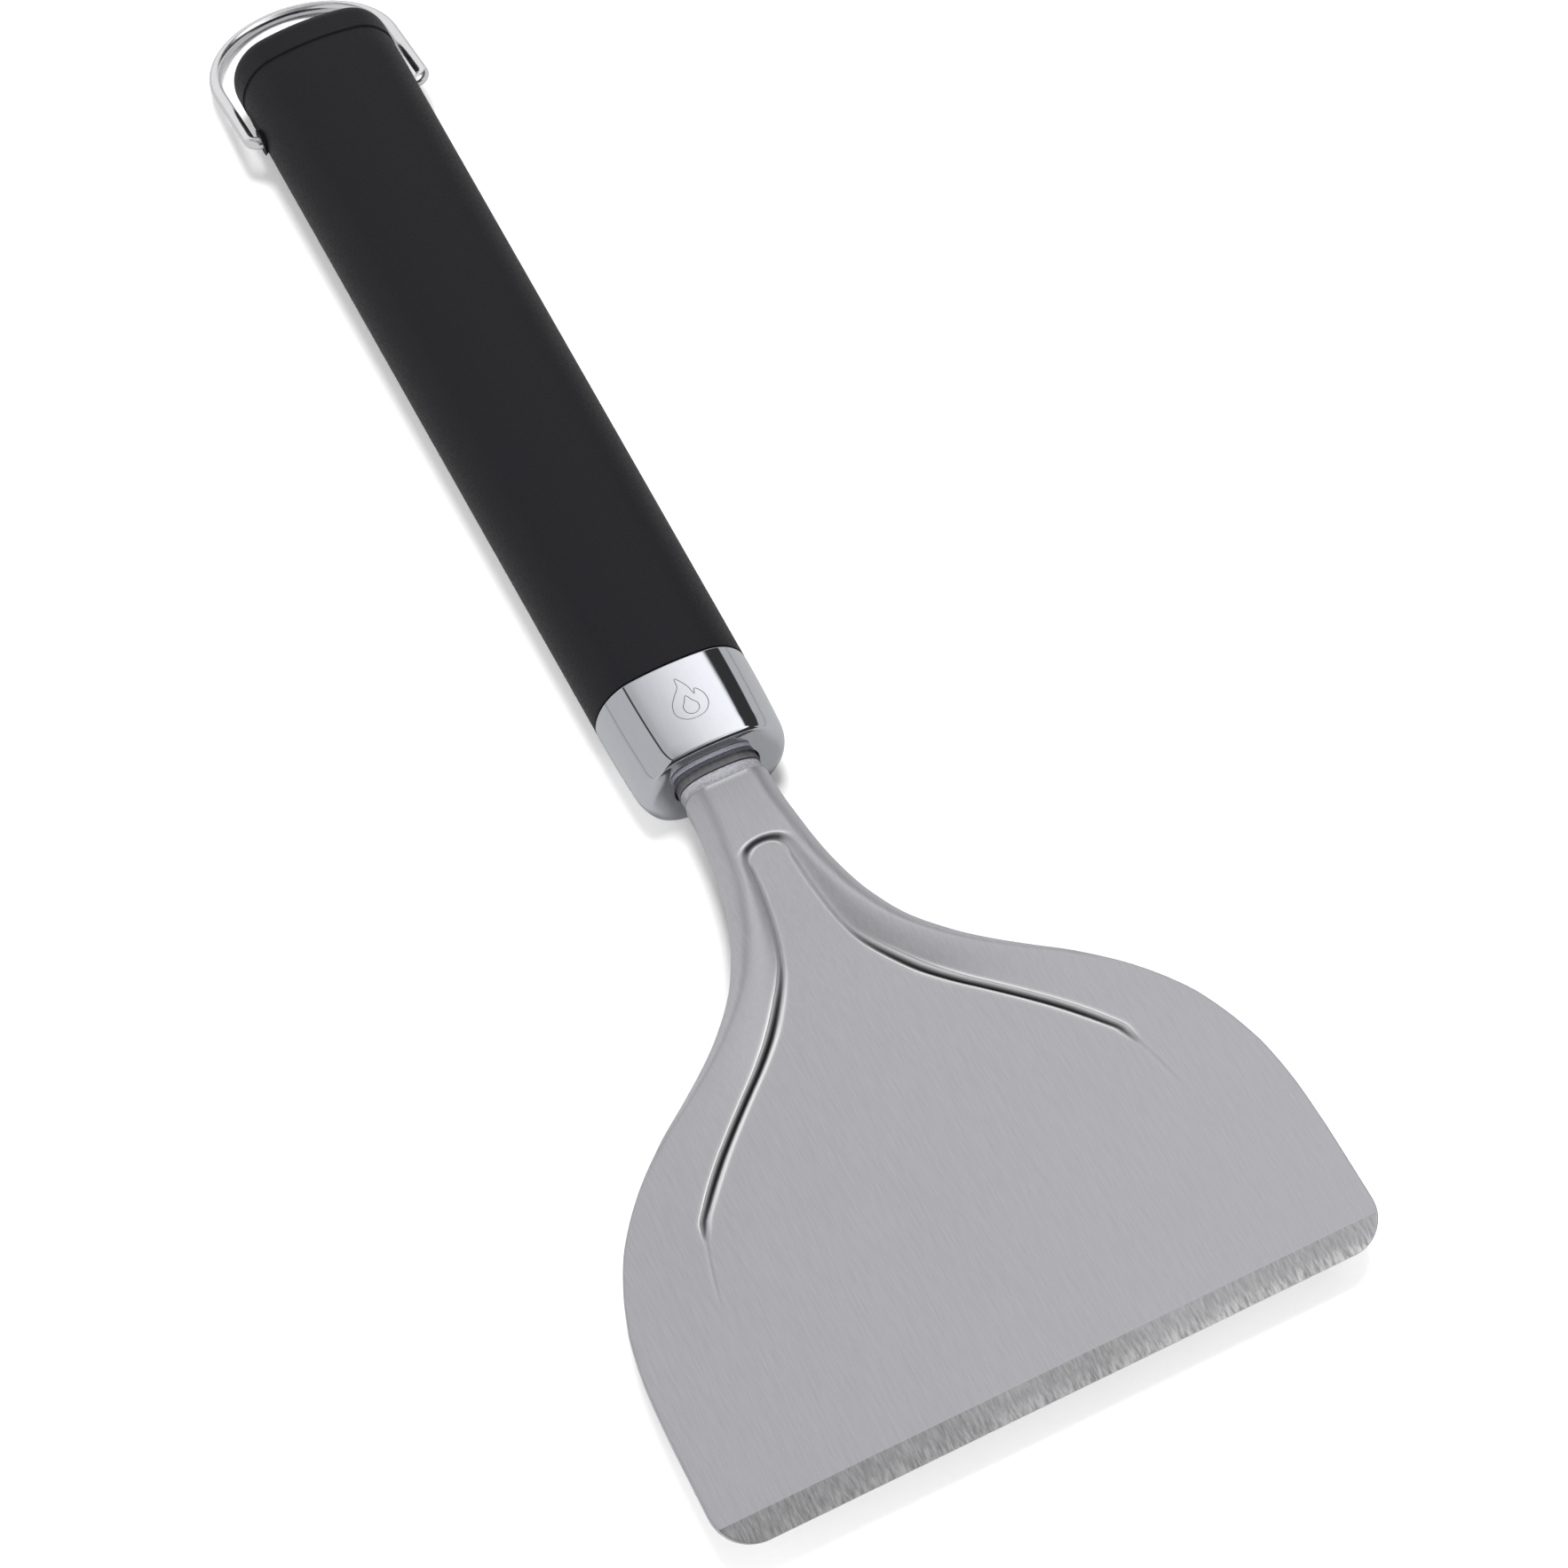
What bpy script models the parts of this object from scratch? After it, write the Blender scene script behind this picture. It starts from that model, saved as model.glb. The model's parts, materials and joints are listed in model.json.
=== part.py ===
"""Grill spatula: a wide pressed-steel blade on a soft-grip handle with a hanging bail.

Metres, +Z up.  The handle runs along +Y and the blade points to -Y; +X is across the blade.
The tool lies with the underside of its handle on Z = 0, and the origin is the middle of the
bounding box's underside.  Stations along the tool are measured back from the front edge.
"""
import math

import bmesh
import bpy
from mathutils import Vector

# ---------------------------------------------------------------- driving sizes (metres)
FIT = 0.0003                 # gap left between neighbouring pieces

# blade
BLADE_W = 0.1431             # widest width
BLADE_L = 0.1493             # front edge to the rear end of the neck
SHEET = 0.0016               # sheet thickness
EDGE_T = 0.0004              # thickness left at the ground front edge
BEVEL_L = 0.0055             # length of the ground bevel
CORNER_R = 0.0086            # front corner radius
BLADE_UP = 0.0012            # upper face of the blade above the handle axis
NECK_HALF = 0.0097           # half width of the neck
NECK_TOP = 0.0070            # top of the neck above the handle axis
NECK_RIM = 0.0005            # lower rim of the neck below the handle axis
STEP_H = 0.0010              # drop from the neck down on to the tongue
STEP_RUN = 0.0010            # length that this drop takes
TONGUE_HALF = 0.0040         # half width of the tongue where it starts
GROOVE_D = 0.0013            # depth of the two pressed grooves
GROOVE_HALF = 0.0013         # half width of a groove

# handle
HANDLE_L = 0.2058            # ferrule's rear seam to the crown of the cap
HANDLE_HALF_F = 0.0178       # half width at the ferrule
HANDLE_HALF_R = 0.0196       # half width at the cap
HANDLE_T = 0.0255            # thickness
TOP_R = 0.0580               # radius of the broad upper and lower faces
SIDE_FLAT = 0.00195          # half thickness less the radius of the rounded sides
GRIP_T = 0.0020              # thickness of the soft outer shell
CAP_L = 0.0098               # visible length of the end cap
CAP_CROWN = 0.0016           # how far the cap's end bulges
CAP_EDGE = 0.0030            # rounding of the cap's upper and lower edges
CAP_SIDE = 0.0026            # how far the cap's rounded sides come in
CAP_TURN = 0.0050            # length in which they come in
CAP_SPIGOT = 0.0056          # length of the cap's plug inside the grip
SOFT = 0.0003                # small rounding where grip and cap meet
POCKET_ROOM = 0.0013         # room behind the nut in the core's rear pocket

# ferrule, collar and seal
FERRULE_L = 0.0227           # length of the ferrule
FERRULE_TAPER = 0.0009       # how much each side draws in towards the front
FERRULE_T = 0.0016           # wall of the ferrule
FERRULE_FACE = 0.0008        # thickness of the ferrule's front wall behind the rounding
FERRULE_EDGE = 0.0049        # length of the rounding at the sides of the ferrule's front
FERRULE_BROW = 0.0016        # length of the rounding at its top and bottom
FACE_RIM = 0.00075           # ferrule's flat front above the top of the neck
FERRULE_DRAW = 0.0024        # how far it comes in from each side
SEAL_L = 0.0028              # length of the seal between neck and collar
COLLAR_SHOW = 0.0014         # length of collar seen in front of the ferrule
COLLAR_IN = 0.0069           # length of collar inside the ferrule
COLLAR_SIDE = 0.0003         # collar's side inside the neck's
COLLAR_TOP = 0.0006          # collar's top below the neck's
COLLAR_SOFT = 0.0004         # rounding of the collar's front rim
SEAL_BACK = 0.0003           # seal's surface below the collar's
COLLAR_LOW = 0.0050          # underside of collar and seal below the handle axis
COLLAR_R = 0.0050            # corner radius of collar and seal

# tang
TANG_SIDE = 0.0011           # gap between the tang's flat front part and the neck beside it
TANG_DROP = 0.0002           # extra gap between the flat part and the neck above it
TANG_LOW = 0.0030            # underside of the flat part below the handle axis
TANG_R = 0.0028              # corner radius of the flat part
TANG_IN_NECK = 0.0130        # how far the tang reaches into the neck
TANG_FLAT_IN = 0.0030        # how far the flat part reaches into the core
TANG_TURN = 0.0040           # length in which the flat part turns into the rod
ROD_R = 0.0040               # radius of the round rear part
ROD_SHORT = 0.0003           # rod's end inside the core's rear face
PIN_R = 0.0020               # radius of the cross pin
PIN_SHORT = 0.0030           # core left beyond each end of the pin
PIN_BACK = 0.0105            # pin behind the core's front face
WASHER_R = 0.0078            # radius of the washer
WASHER_T = 0.0015            # thickness of the washer
NUT_FLAT = 0.0065            # half the size across the nut's flats
NUT_T = 0.0050               # thickness of the nut

# bail
WIRE_R = 0.00145             # radius of the wire
BAIL_ROOM = 0.0026           # wire's centre beyond the handle's widest side
BAIL_L = 0.0465              # hinge to the middle of the arch
BAIL_ARCH = 0.0225           # length of the arch part of that
BAIL_ELBOW = 0.0028          # bend radius at each end
BAIL_IN = 0.0125             # half distance between the two wire ends
HINGE_BACK = 0.0223          # hinge forward of the cap's crown
HOLE_ROOM = 0.00085          # room round the wire in the grip's holes
HOLE_DEEP = 0.0005           # core's holes reach past the wire's ends
TIP_UP = 0.0001              # gap between the hanging loop and the surface below

# ---------------------------------------------------------------- sizes that follow
SIDE_R = HANDLE_T / 2 - SIDE_FLAT
FERRULE_DROP = HANDLE_T / 2 - NECK_TOP - FACE_RIM
TANG_HALF = NECK_HALF - SHEET - TANG_SIDE
PIN_HALF = HANDLE_HALF_F - GRIP_T - FIT - PIN_SHORT
POCKET_L = WASHER_T + NUT_T + 2 * FIT + POCKET_ROOM
BAIL_HALF = HANDLE_HALF_R + BAIL_ROOM
GRIP_HOLE_R = WIRE_R + HOLE_ROOM

# ---------------------------------------------------------------- stations from the front edge
SEAL_Y0 = BLADE_L + FIT
SEAL_Y1 = SEAL_Y0 + SEAL_L
COLLAR_Y0 = SEAL_Y1 + FIT
FERRULE_Y0 = COLLAR_Y0 + COLLAR_SHOW
COLLAR_Y1 = FERRULE_Y0 + COLLAR_IN
FERRULE_Y1 = FERRULE_Y0 + FERRULE_L
GRIP_Y0 = FERRULE_Y1 + FIT
END_Y = FERRULE_Y1 + HANDLE_L
CAP_Y0 = END_Y - CAP_L
GRIP_Y1 = CAP_Y0 - FIT
CORE_Y0 = COLLAR_Y1 + FIT
CORE_Y1 = CAP_Y0 - CAP_SPIGOT - FIT
POCKET_Y = CORE_Y1 - POCKET_L
PIN_Y = CORE_Y0 + PIN_BACK
HINGE_Y = END_Y - HINGE_BACK
AXIS_Z = HANDLE_T / 2
TANG_TOP = NECK_TOP - SHEET - FIT - TANG_DROP
DROOP = math.asin((AXIS_Z - WIRE_R - TIP_UP) / BAIL_L)
BACK_Y = HINGE_Y + BAIL_L * math.cos(DROOP) + WIRE_R
MID_Y = BACK_Y / 2

BLADE_SHAPE = (              # station as a part of BLADE_L, how far the half width opens out
    (0.000, 0.999), (0.107, 1.000), (0.161, 1.000), (0.201, 0.998), (0.241, 0.994),
    (0.268, 0.988), (0.295, 0.979), (0.322, 0.967), (0.348, 0.949), (0.375, 0.927),
    (0.402, 0.900), (0.429, 0.868), (0.455, 0.827), (0.482, 0.777), (0.509, 0.718),
    (0.536, 0.649), (0.563, 0.572), (0.589, 0.487), (0.616, 0.403), (0.636, 0.346),
    (0.656, 0.294), (0.676, 0.249), (0.697, 0.206), (0.717, 0.171), (0.737, 0.142),
    (0.757, 0.117), (0.777, 0.094), (0.797, 0.076), (0.817, 0.060), (0.837, 0.046),
    (0.857, 0.035), (0.877, 0.026), (0.898, 0.019), (0.918, 0.013), (0.944, 0.006),
    (0.971, 0.002), (1.000, 0.000))
SHOULDER = (                 # station, height above the blade as a part of the neck's
    (0.000, 0.000), (0.470, 0.000), (0.510, 0.015), (0.545, 0.045), (0.580, 0.095),
    (0.615, 0.165), (0.650, 0.255), (0.685, 0.365), (0.720, 0.490), (0.755, 0.620),
    (0.790, 0.740), (0.825, 0.845), (0.860, 0.925), (0.930, 0.990), (1.000, 1.000))
TONGUE = (                   # station, height of the tongue as a part of its rear end's
    (0.000, 0.000), (0.620, 0.000), (0.660, 0.110), (0.700, 0.240), (0.735, 0.390),
    (0.770, 0.565), (0.805, 0.740), (0.840, 0.890), (0.867, 0.990), (0.900, 1.030),
    (1.000, 1.060))
CREASE = (                   # station, crease and groove line as a part of half the blade width
    (0.000, 0.735), (0.198, 0.733), (0.323, 0.714), (0.381, 0.692), (0.410, 0.667),
    (0.452, 0.602), (0.491, 0.531), (0.526, 0.458), (0.561, 0.380), (0.595, 0.303),
    (0.632, 0.231), (0.674, 0.165), (0.698, 0.133), (0.721, 0.110), (0.752, 0.091),
    (0.791, 0.076), (0.831, 0.066), (0.866, 0.061), (1.000, 0.060))
TONGUE_END = 0.8640          # where the tongue runs into the crescent-shaped step
GROOVE = (                   # station, how deep the groove line is pressed
    (0.000, 0.000), (0.356, 0.000), (0.401, 0.100), (0.414, 0.750), (0.435, 1.000),
    (0.633, 1.000), (0.692, 0.850), (0.720, 0.300), (0.742, 0.120), (0.851, 0.120),
    (0.871, 0.000), (1.000, 0.000))
FLANGE = (                   # station, bend of the rim in degrees, its radius, straight wall below
    (0.000, 0.5, 0.0046, 0.0010), (0.500, 0.5, 0.0046, 0.0010), (0.550, 8.0, 0.0046, 0.0010),
    (0.600, 22.0, 0.0046, 0.0010), (0.667, 45.0, 0.0046, 0.0010), (0.733, 66.0, 0.0046, 0.0013),
    (0.800, 80.0, 0.0046, 0.0018), (0.867, 88.0, 0.0047, 0.0024), (1.000, 90.0, 0.0050, 0.0025))


# ---------------------------------------------------------------- helpers
def table(rows, u, col=1):
    """Value of a table at station u, joined by smooth curves that never overshoot."""
    if u <= rows[0][0]:
        return rows[0][col]
    for k in range(len(rows) - 1):
        a, b = rows[k], rows[k + 1]
        if u <= b[0]:
            h = b[0] - a[0]
            d = (b[col] - a[col]) / h
            before = rows[k - 1] if k else None
            after = rows[k + 2] if k + 2 < len(rows) else None
            da = (a[col] - before[col]) / (a[0] - before[0]) if before else d
            db = (after[col] - b[col]) / (after[0] - b[0]) if after else d
            ma = 0.0 if da * d <= 0 else 2 * da * d / (da + d)
            mb = 0.0 if db * d <= 0 else 2 * db * d / (db + d)
            t = (u - a[0]) / h
            return (a[col] * (1 + 2 * t) * (1 - t) ** 2 + ma * h * t * (1 - t) ** 2
                    + b[col] * t * t * (3 - 2 * t) + mb * h * t * t * (t - 1))
    return rows[-1][col]


def material(name, colour, metallic, roughness):
    mat = bpy.data.materials.new(name)
    mat.use_nodes = True
    bsdf = mat.node_tree.nodes["Principled BSDF"]
    bsdf.inputs["Base Color"].default_value = (*colour, 1.0)
    bsdf.inputs["Metallic"].default_value = metallic
    bsdf.inputs["Roughness"].default_value = roughness
    mat.diffuse_color = (*colour, 1.0)
    return mat


def make(name, verts, faces, mat, origin=Vector((0, 0, 0))):
    """An object from world-space points, its normals facing out and its origin where asked."""
    mesh = bpy.data.meshes.new(name)
    mesh.from_pydata([Vector(v) - origin for v in verts], [], faces)
    bm = bmesh.new()
    bm.from_mesh(mesh)
    bmesh.ops.recalc_face_normals(bm, faces=bm.faces)
    for f in bm.faces:
        f.smooth = True
    bm.to_mesh(mesh)
    bm.free()
    mesh.materials.append(mat)
    obj = bpy.data.objects.new(name, mesh)
    obj.location = origin
    bpy.context.scene.collection.objects.link(obj)
    return obj


def loft(name, rings, mat, loop=False, origin=Vector((0, 0, 0))):
    """Skin over rings of equal count: capped at both ends, or joined last to first."""
    n = len(rings[0])
    verts = [p for ring in rings for p in ring]
    faces = []
    spans = len(rings) if loop else len(rings) - 1
    for r in range(spans):
        a, b = r * n, ((r + 1) % len(rings)) * n
        for k in range(n):
            m = (k + 1) % n
            faces.append((a + k, a + m, b + m, b + k))
    if not loop:
        faces.append(tuple(range(n)))
        faces.append(tuple(range((len(rings) - 1) * n, len(rings) * n)))
    return make(name, verts, faces, mat, origin)


def cutter(name, rings, target):
    """A hidden shape taken away from the target."""
    obj = loft(name, rings, target.data.materials[0])
    obj.hide_render = True
    obj.display_type = "WIRE"
    mod = target.modifiers.new(name, "BOOLEAN")
    mod.operation = "DIFFERENCE"
    mod.solver = "EXACT"
    mod.object = obj
    return obj


def handle_half(y):
    """Half width of the handle at a station."""
    if y < FERRULE_Y1:
        return HANDLE_HALF_F - FERRULE_TAPER * ((FERRULE_Y1 - y) / FERRULE_L) ** 2
    return HANDLE_HALF_F + (HANDLE_HALF_R - HANDLE_HALF_F) * (y - FERRULE_Y1) / HANDLE_L


def handle_ring(y, inset=0.0, quarter=10):
    """Handle section: broad crowned faces joined by rounded sides."""
    w, t = handle_half(y) - inset, HANDLE_T / 2 - inset
    big, small = TOP_R - inset, max(SIDE_R - inset, 0.001)
    dx = w - small
    dz = math.sqrt((big - small) ** 2 - dx ** 2)
    turn = math.atan2(dz, dx)
    pts = []
    for k in range(4):
        a = math.pi / 2 + (turn - math.pi / 2) * k / 4
        pts.append((big * math.cos(a), t - big + big * math.sin(a)))
    for k in range(quarter - 4 + 1):
        a = turn * (1 - k / (quarter - 4))
        pts.append((dx + small * math.cos(a), t - big + dz + small * math.sin(a)))
    drop = pts[-1][1]
    pts = [(x, z - drop * (x / w) ** 6) for x, z in pts]
    ring = pts + [(x, -z) for x, z in pts[-2::-1]]
    ring = ring + [(-x, z) for x, z in ring[-2:0:-1]]
    return [Vector((x, y - MID_Y, AXIS_Z + z)) for x, z in ring]


def turn_in(left, length):
    """How far a quarter round has come in, with a length left before its end."""
    t = min(max(1 - left / length, 0.0), 1.0)
    return 1 - math.sqrt(1 - t * t)


def squeeze(ring, side, edge, y):
    """The same section made narrower by side and thinner by edge all round."""
    sx = 1 - side / handle_half(y)
    sz = 1 - edge / (HANDLE_T / 2)
    return [Vector((p.x * sx, p.y, AXIS_Z + (p.z - AXIS_Z) * sz)) for p in ring]


def box_ring(y, half, top, low, radius, count=40):
    """Rounded rectangle from low to top about the handle axis, starting at the top middle."""
    mid, high = (top - low) / 2, (top + low) / 2
    corner = min(radius, half, high)
    pts = []
    for k in range(count):
        a = 2 * math.pi * k / count
        s, c = math.sin(a), math.cos(a)
        n = 2.0 + 5.0 * (1.0 - corner / min(half, high))
        scale = (abs(s) ** n + abs(c) ** n) ** (-1.0 / n)
        pts.append(Vector((half * s * scale, y - MID_Y, AXIS_Z + mid + high * c * scale)))
    return pts


def round_ring(y, radius, count=40):
    return box_ring(y, radius, radius, radius, radius, count)


def side_ring(x, radius, y, count=20):
    """Circle about an axis along X."""
    return [Vector((x, y - MID_Y + radius * math.cos(2 * math.pi * k / count),
                    AXIS_Z + radius * math.sin(2 * math.pi * k / count))) for k in range(count)]


# ---------------------------------------------------------------- blade
def blade_section(y):
    """Upper and lower points of the sheet at a station, from the left edge to the right."""
    u = y / BLADE_L
    half = NECK_HALF + (BLADE_W / 2 - NECK_HALF) * table(BLADE_SHAPE, u)
    if y < CORNER_R:
        half += math.sqrt(CORNER_R ** 2 - (CORNER_R - y) ** 2) - CORNER_R
    bend = math.radians(table(FLANGE, u))
    radius, wall = table(FLANGE, u, 2), table(FLANGE, u, 3)
    if u > 0.85:
        drop = NECK_TOP + NECK_RIM - radius * (1 - math.cos(bend))
        wall += (drop / math.sin(bend) - wall) * min(1.0, (u - 0.85) / 0.1)
    reach = radius if bend > math.pi / 2 else radius * math.sin(bend) + wall * math.cos(bend)
    flat = half - reach
    crease = min(table(CREASE, u) * BLADE_W / 2, 0.74 * flat)
    neck = NECK_TOP - BLADE_UP
    shoulder = neck * table(SHOULDER, u)
    rear = neck * 0.965 - STEP_H
    tongue = rear * table(TONGUE, u)
    over = max(0.0, y - TONGUE_END * BLADE_L)
    groove = GROOVE_D * table(GROOVE, u)
    g = min(GROOVE_HALF, 0.22 * crease, 0.3 * (flat - crease))

    def height(x):
        if over > 0:
            outside = math.hypot(over, x) - TONGUE_HALF
            t = min(max(outside / STEP_RUN + 0.5, 0.0), 1.0)
            base = tongue + (shoulder - tongue) * t * t * (3 - 2 * t)
        elif x <= crease:
            base = tongue
        else:
            t = (x - crease) / (flat - crease)
            base = tongue + (shoulder - tongue) * (1 - (1 - min(t, 1.0)) ** 2)
        return base - groove * max(0.0, 1 - abs(x - crease) / g) + BLADE_UP

    xs = [0.0, 0.35 * (crease - g), 0.7 * (crease - g), crease - g, crease, crease + g]
    xs += [crease + g + (flat - crease - g) * k / 4 for k in (1, 2, 3, 4)]
    pts = [(x, height(x)) for x in xs]
    x0, z0 = pts[-1]
    for k in range(1, 6):
        a = bend * k / 5
        pts.append((x0 + radius * math.sin(a), z0 - radius * (1 - math.cos(a))))
    x0, z0 = pts[-1]
    for k in (1, 2):
        pts.append((x0 + wall * k / 2 * math.cos(bend), z0 - wall * k / 2 * math.sin(bend)))
    low = []
    for k, (x, z) in enumerate(pts):
        a = pts[k - 1] if k else (-pts[1][0], pts[1][1])
        b = pts[k + 1] if k + 1 < len(pts) else None
        tx, tz = (b[0] - a[0], b[1] - a[1]) if b else (x - a[0], z - a[1])
        size = math.hypot(tx, tz)
        low.append((x + SHEET * tz / size, z - SHEET * tx / size))
    cut = (SHEET - EDGE_T) * max(0.0, 1 - y / BEVEL_L)
    top = [(x, z - cut) for x, z in pts]

    def both(row):
        full = [(-x, z) for x, z in row[:0:-1]] + row
        return [Vector((x, y - MID_Y, AXIS_Z + z)) for x, z in full]
    return both(top), both(low)


def build_blade(mat):
    rows = [0.0, CORNER_R * 0.08, CORNER_R * 0.23, CORNER_R * 0.44, BEVEL_L, CORNER_R]
    rows += [BLADE_L * u for u in (0.107, 0.187, 0.254)]
    rows += [BLADE_L * (0.301 + 0.0221 * k) for k in range(25)]
    tail = TONGUE_END * BLADE_L
    rows = sorted(y for y in rows if y < tail - STEP_RUN)
    rows += [tail + (TONGUE_HALF + 2 * STEP_RUN) * k / 10 for k in range(0, 11)]
    left = BLADE_L - rows[-1]
    rows += [rows[-1] + left * k / 4 for k in (1, 2, 3, 4)]
    verts, faces = [], []
    for y in rows:
        top, low = blade_section(y)
        verts += top + low
        n = len(top)
    step = 2 * n
    for r in range(len(rows) - 1):
        a, b = r * step, (r + 1) * step
        for k in range(n - 1):
            faces.append((a + k, a + k + 1, b + k + 1, b + k))
            faces.append((a + n + k + 1, a + n + k, b + n + k, b + n + k + 1))
        faces.append((a, b, b + n, a + n))
        faces.append((a + n - 1, a + 2 * n - 1, b + 2 * n - 1, b + n - 1))
    last = (len(rows) - 1) * step
    for k in range(n - 1):
        faces.append((k, k + n, k + n + 1, k + 1))
        faces.append((last + k, last + k + 1, last + k + n + 1, last + k + n))
    make("blade", verts, faces, mat)


# ---------------------------------------------------------------- tang and its fixings
def tang_rings(grow, y_front, y_rear, count=40):
    """Flat front part running into the round rod, all grown by the same amount."""
    flat_end = CORE_Y0 + TANG_FLAT_IN + grow
    flat = (TANG_HALF + grow, TANG_TOP + grow, TANG_LOW + grow, TANG_R + grow)
    return [box_ring(y_front, *flat, count), box_ring(flat_end, *flat, count),
            round_ring(flat_end + TANG_TURN, ROD_R + grow, count),
            round_ring(y_rear, ROD_R + grow, count)]


def build_tang(mat):
    tang = loft("tang", tang_rings(0.0, BLADE_L - TANG_IN_NECK, CORE_Y1 - ROD_SHORT), mat)
    cutter("cut_tang_pin", [side_ring(-HANDLE_HALF_F, PIN_R + FIT, PIN_Y),
                            side_ring(HANDLE_HALF_F, PIN_R + FIT, PIN_Y)], tang)
    loft("tang_pin", [side_ring(-PIN_HALF, PIN_R, PIN_Y), side_ring(PIN_HALF, PIN_R, PIN_Y)],
         material("pin_steel", (0.55, 0.55, 0.56), 1.0, 0.35))


def ring_body(name, y0, y1, outer, inner, mat):
    """A plain ring between two stations; outer and inner give the section at a station."""
    return loft(name, [outer(y0), outer(y1), inner(y1), inner(y0)], mat, loop=True)


def build_fixings(steel):
    y0 = POCKET_Y + FIT
    ring_body("tang_washer", y0, y0 + WASHER_T, lambda y: round_ring(y, WASHER_R, 36),
              lambda y: round_ring(y, ROD_R + FIT, 36), steel)
    y0 += WASHER_T + FIT

    def hexagon(y):
        pts = []
        for k in range(36):
            a = 2 * math.pi * k / 36
            r = NUT_FLAT / math.cos((a % (math.pi / 3)) - math.pi / 6)
            pts.append(Vector((r * math.sin(a), y - MID_Y, AXIS_Z + r * math.cos(a))))
        return pts
    ring_body("tang_nut", y0, y0 + NUT_T, hexagon, lambda y: round_ring(y, ROD_R + FIT, 36),
              material("nut_zinc", (0.62, 0.62, 0.60), 1.0, 0.4))


# ---------------------------------------------------------------- collar, seal and ferrule
def sleeve_ring(y, grow=0.0):
    return box_ring(y, NECK_HALF - COLLAR_SIDE + grow, NECK_TOP - COLLAR_TOP + grow,
                    COLLAR_LOW + grow, COLLAR_R + grow)


def bore_ring(y):
    return box_ring(y, TANG_HALF + FIT, TANG_TOP + FIT, TANG_LOW + FIT, TANG_R + FIT)


def build_collar(dark, darker):
    ring_body("neck_seal", SEAL_Y0, SEAL_Y1, lambda y: sleeve_ring(y, -SEAL_BACK), bore_ring,
              dark)
    loft("neck_collar", [
        sleeve_ring(COLLAR_Y0, -COLLAR_SOFT), sleeve_ring(COLLAR_Y0 + COLLAR_SOFT),
        sleeve_ring(COLLAR_Y1), bore_ring(COLLAR_Y1), bore_ring(COLLAR_Y0)], darker, loop=True)


def build_ferrule(chrome):
    rings = [handle_ring(FERRULE_Y1), handle_ring(FERRULE_Y0 + FERRULE_L * 0.6),
             handle_ring(FERRULE_Y0 + FERRULE_L * 0.3)]
    for k in range(7):
        a = math.pi / 2 * k / 6
        y = FERRULE_Y0 + FERRULE_EDGE * (1 - math.sin(a))
        rings.append(squeeze(handle_ring(y), FERRULE_DRAW * (1 - math.cos(a)),
                             FERRULE_DROP * turn_in(y - FERRULE_Y0, FERRULE_BROW), y))
    back = FERRULE_Y0 + FERRULE_EDGE + FERRULE_FACE
    holes = [sleeve_ring(FERRULE_Y0, FIT), sleeve_ring(back, FIT)]
    inner = [handle_ring(back, FERRULE_T), handle_ring(FERRULE_Y1, FERRULE_T)]
    loft("ferrule", rings + holes + inner, chrome, loop=True)


# ---------------------------------------------------------------- handle
def build_handle(core_mat, grip_mat, cap_mat):
    inset = GRIP_T + FIT
    through = 2 * HANDLE_HALF_R
    outer = [handle_ring(CORE_Y0, inset), handle_ring(FERRULE_Y1, inset),
             handle_ring(CORE_Y1, inset)]
    deep = WASHER_R + FIT
    bore = tang_rings(FIT, CORE_Y0, POCKET_Y)
    inner = [round_ring(CORE_Y1, deep), round_ring(POCKET_Y, deep)] + bore[::-1]
    core = loft("handle_core", outer + inner, core_mat, loop=True)
    for side, name in ((-1, "cut_core_left"), (1, "cut_core_right")):
        cutter(name, [side_ring(side * (BAIL_IN - HOLE_DEEP), WIRE_R + FIT, HINGE_Y),
                      side_ring(side * through, WIRE_R + FIT, HINGE_Y)], core)
    cutter("cut_core_pin", [side_ring(-through, PIN_R + FIT, PIN_Y),
                            side_ring(through, PIN_R + FIT, PIN_Y)], core)

    grip = loft("handle_grip", [
        handle_ring(GRIP_Y0, SOFT), handle_ring(GRIP_Y0 + SOFT), handle_ring(GRIP_Y1 - SOFT),
        handle_ring(GRIP_Y1, SOFT), handle_ring(GRIP_Y1, GRIP_T), handle_ring(GRIP_Y0, GRIP_T)],
        grip_mat, loop=True)
    for side, name in ((-1, "cut_grip_left"), (1, "cut_grip_right")):
        cutter(name, [side_ring(side * HANDLE_HALF_R / 2, GRIP_HOLE_R, HINGE_Y),
                      side_ring(side * through, GRIP_HOLE_R, HINGE_Y)], grip)

    rings = [handle_ring(CAP_Y0 - CAP_SPIGOT, inset), handle_ring(CAP_Y0, inset),
             handle_ring(CAP_Y0, SOFT), handle_ring(CAP_Y0 + SOFT)]
    start, rim = CAP_Y0 + 2 * SOFT, END_Y - CAP_CROWN
    for k in range(1, 8):
        a = math.pi / 2 * k / 7
        y = start + (rim - start) * math.sin(a)
        rings.append(squeeze(handle_ring(y), CAP_SIDE * turn_in(rim - y, CAP_TURN),
                             CAP_EDGE * turn_in(rim - y, CAP_EDGE), y))
    flat = rings[-1]
    for part in (0.72, 0.4):
        rings.append([Vector((p.x * part, END_Y - CAP_CROWN * part ** 2 - MID_Y,
                              AXIS_Z + (p.z - AXIS_Z) * part)) for p in flat])
    loft("end_cap", rings, cap_mat)


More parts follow.
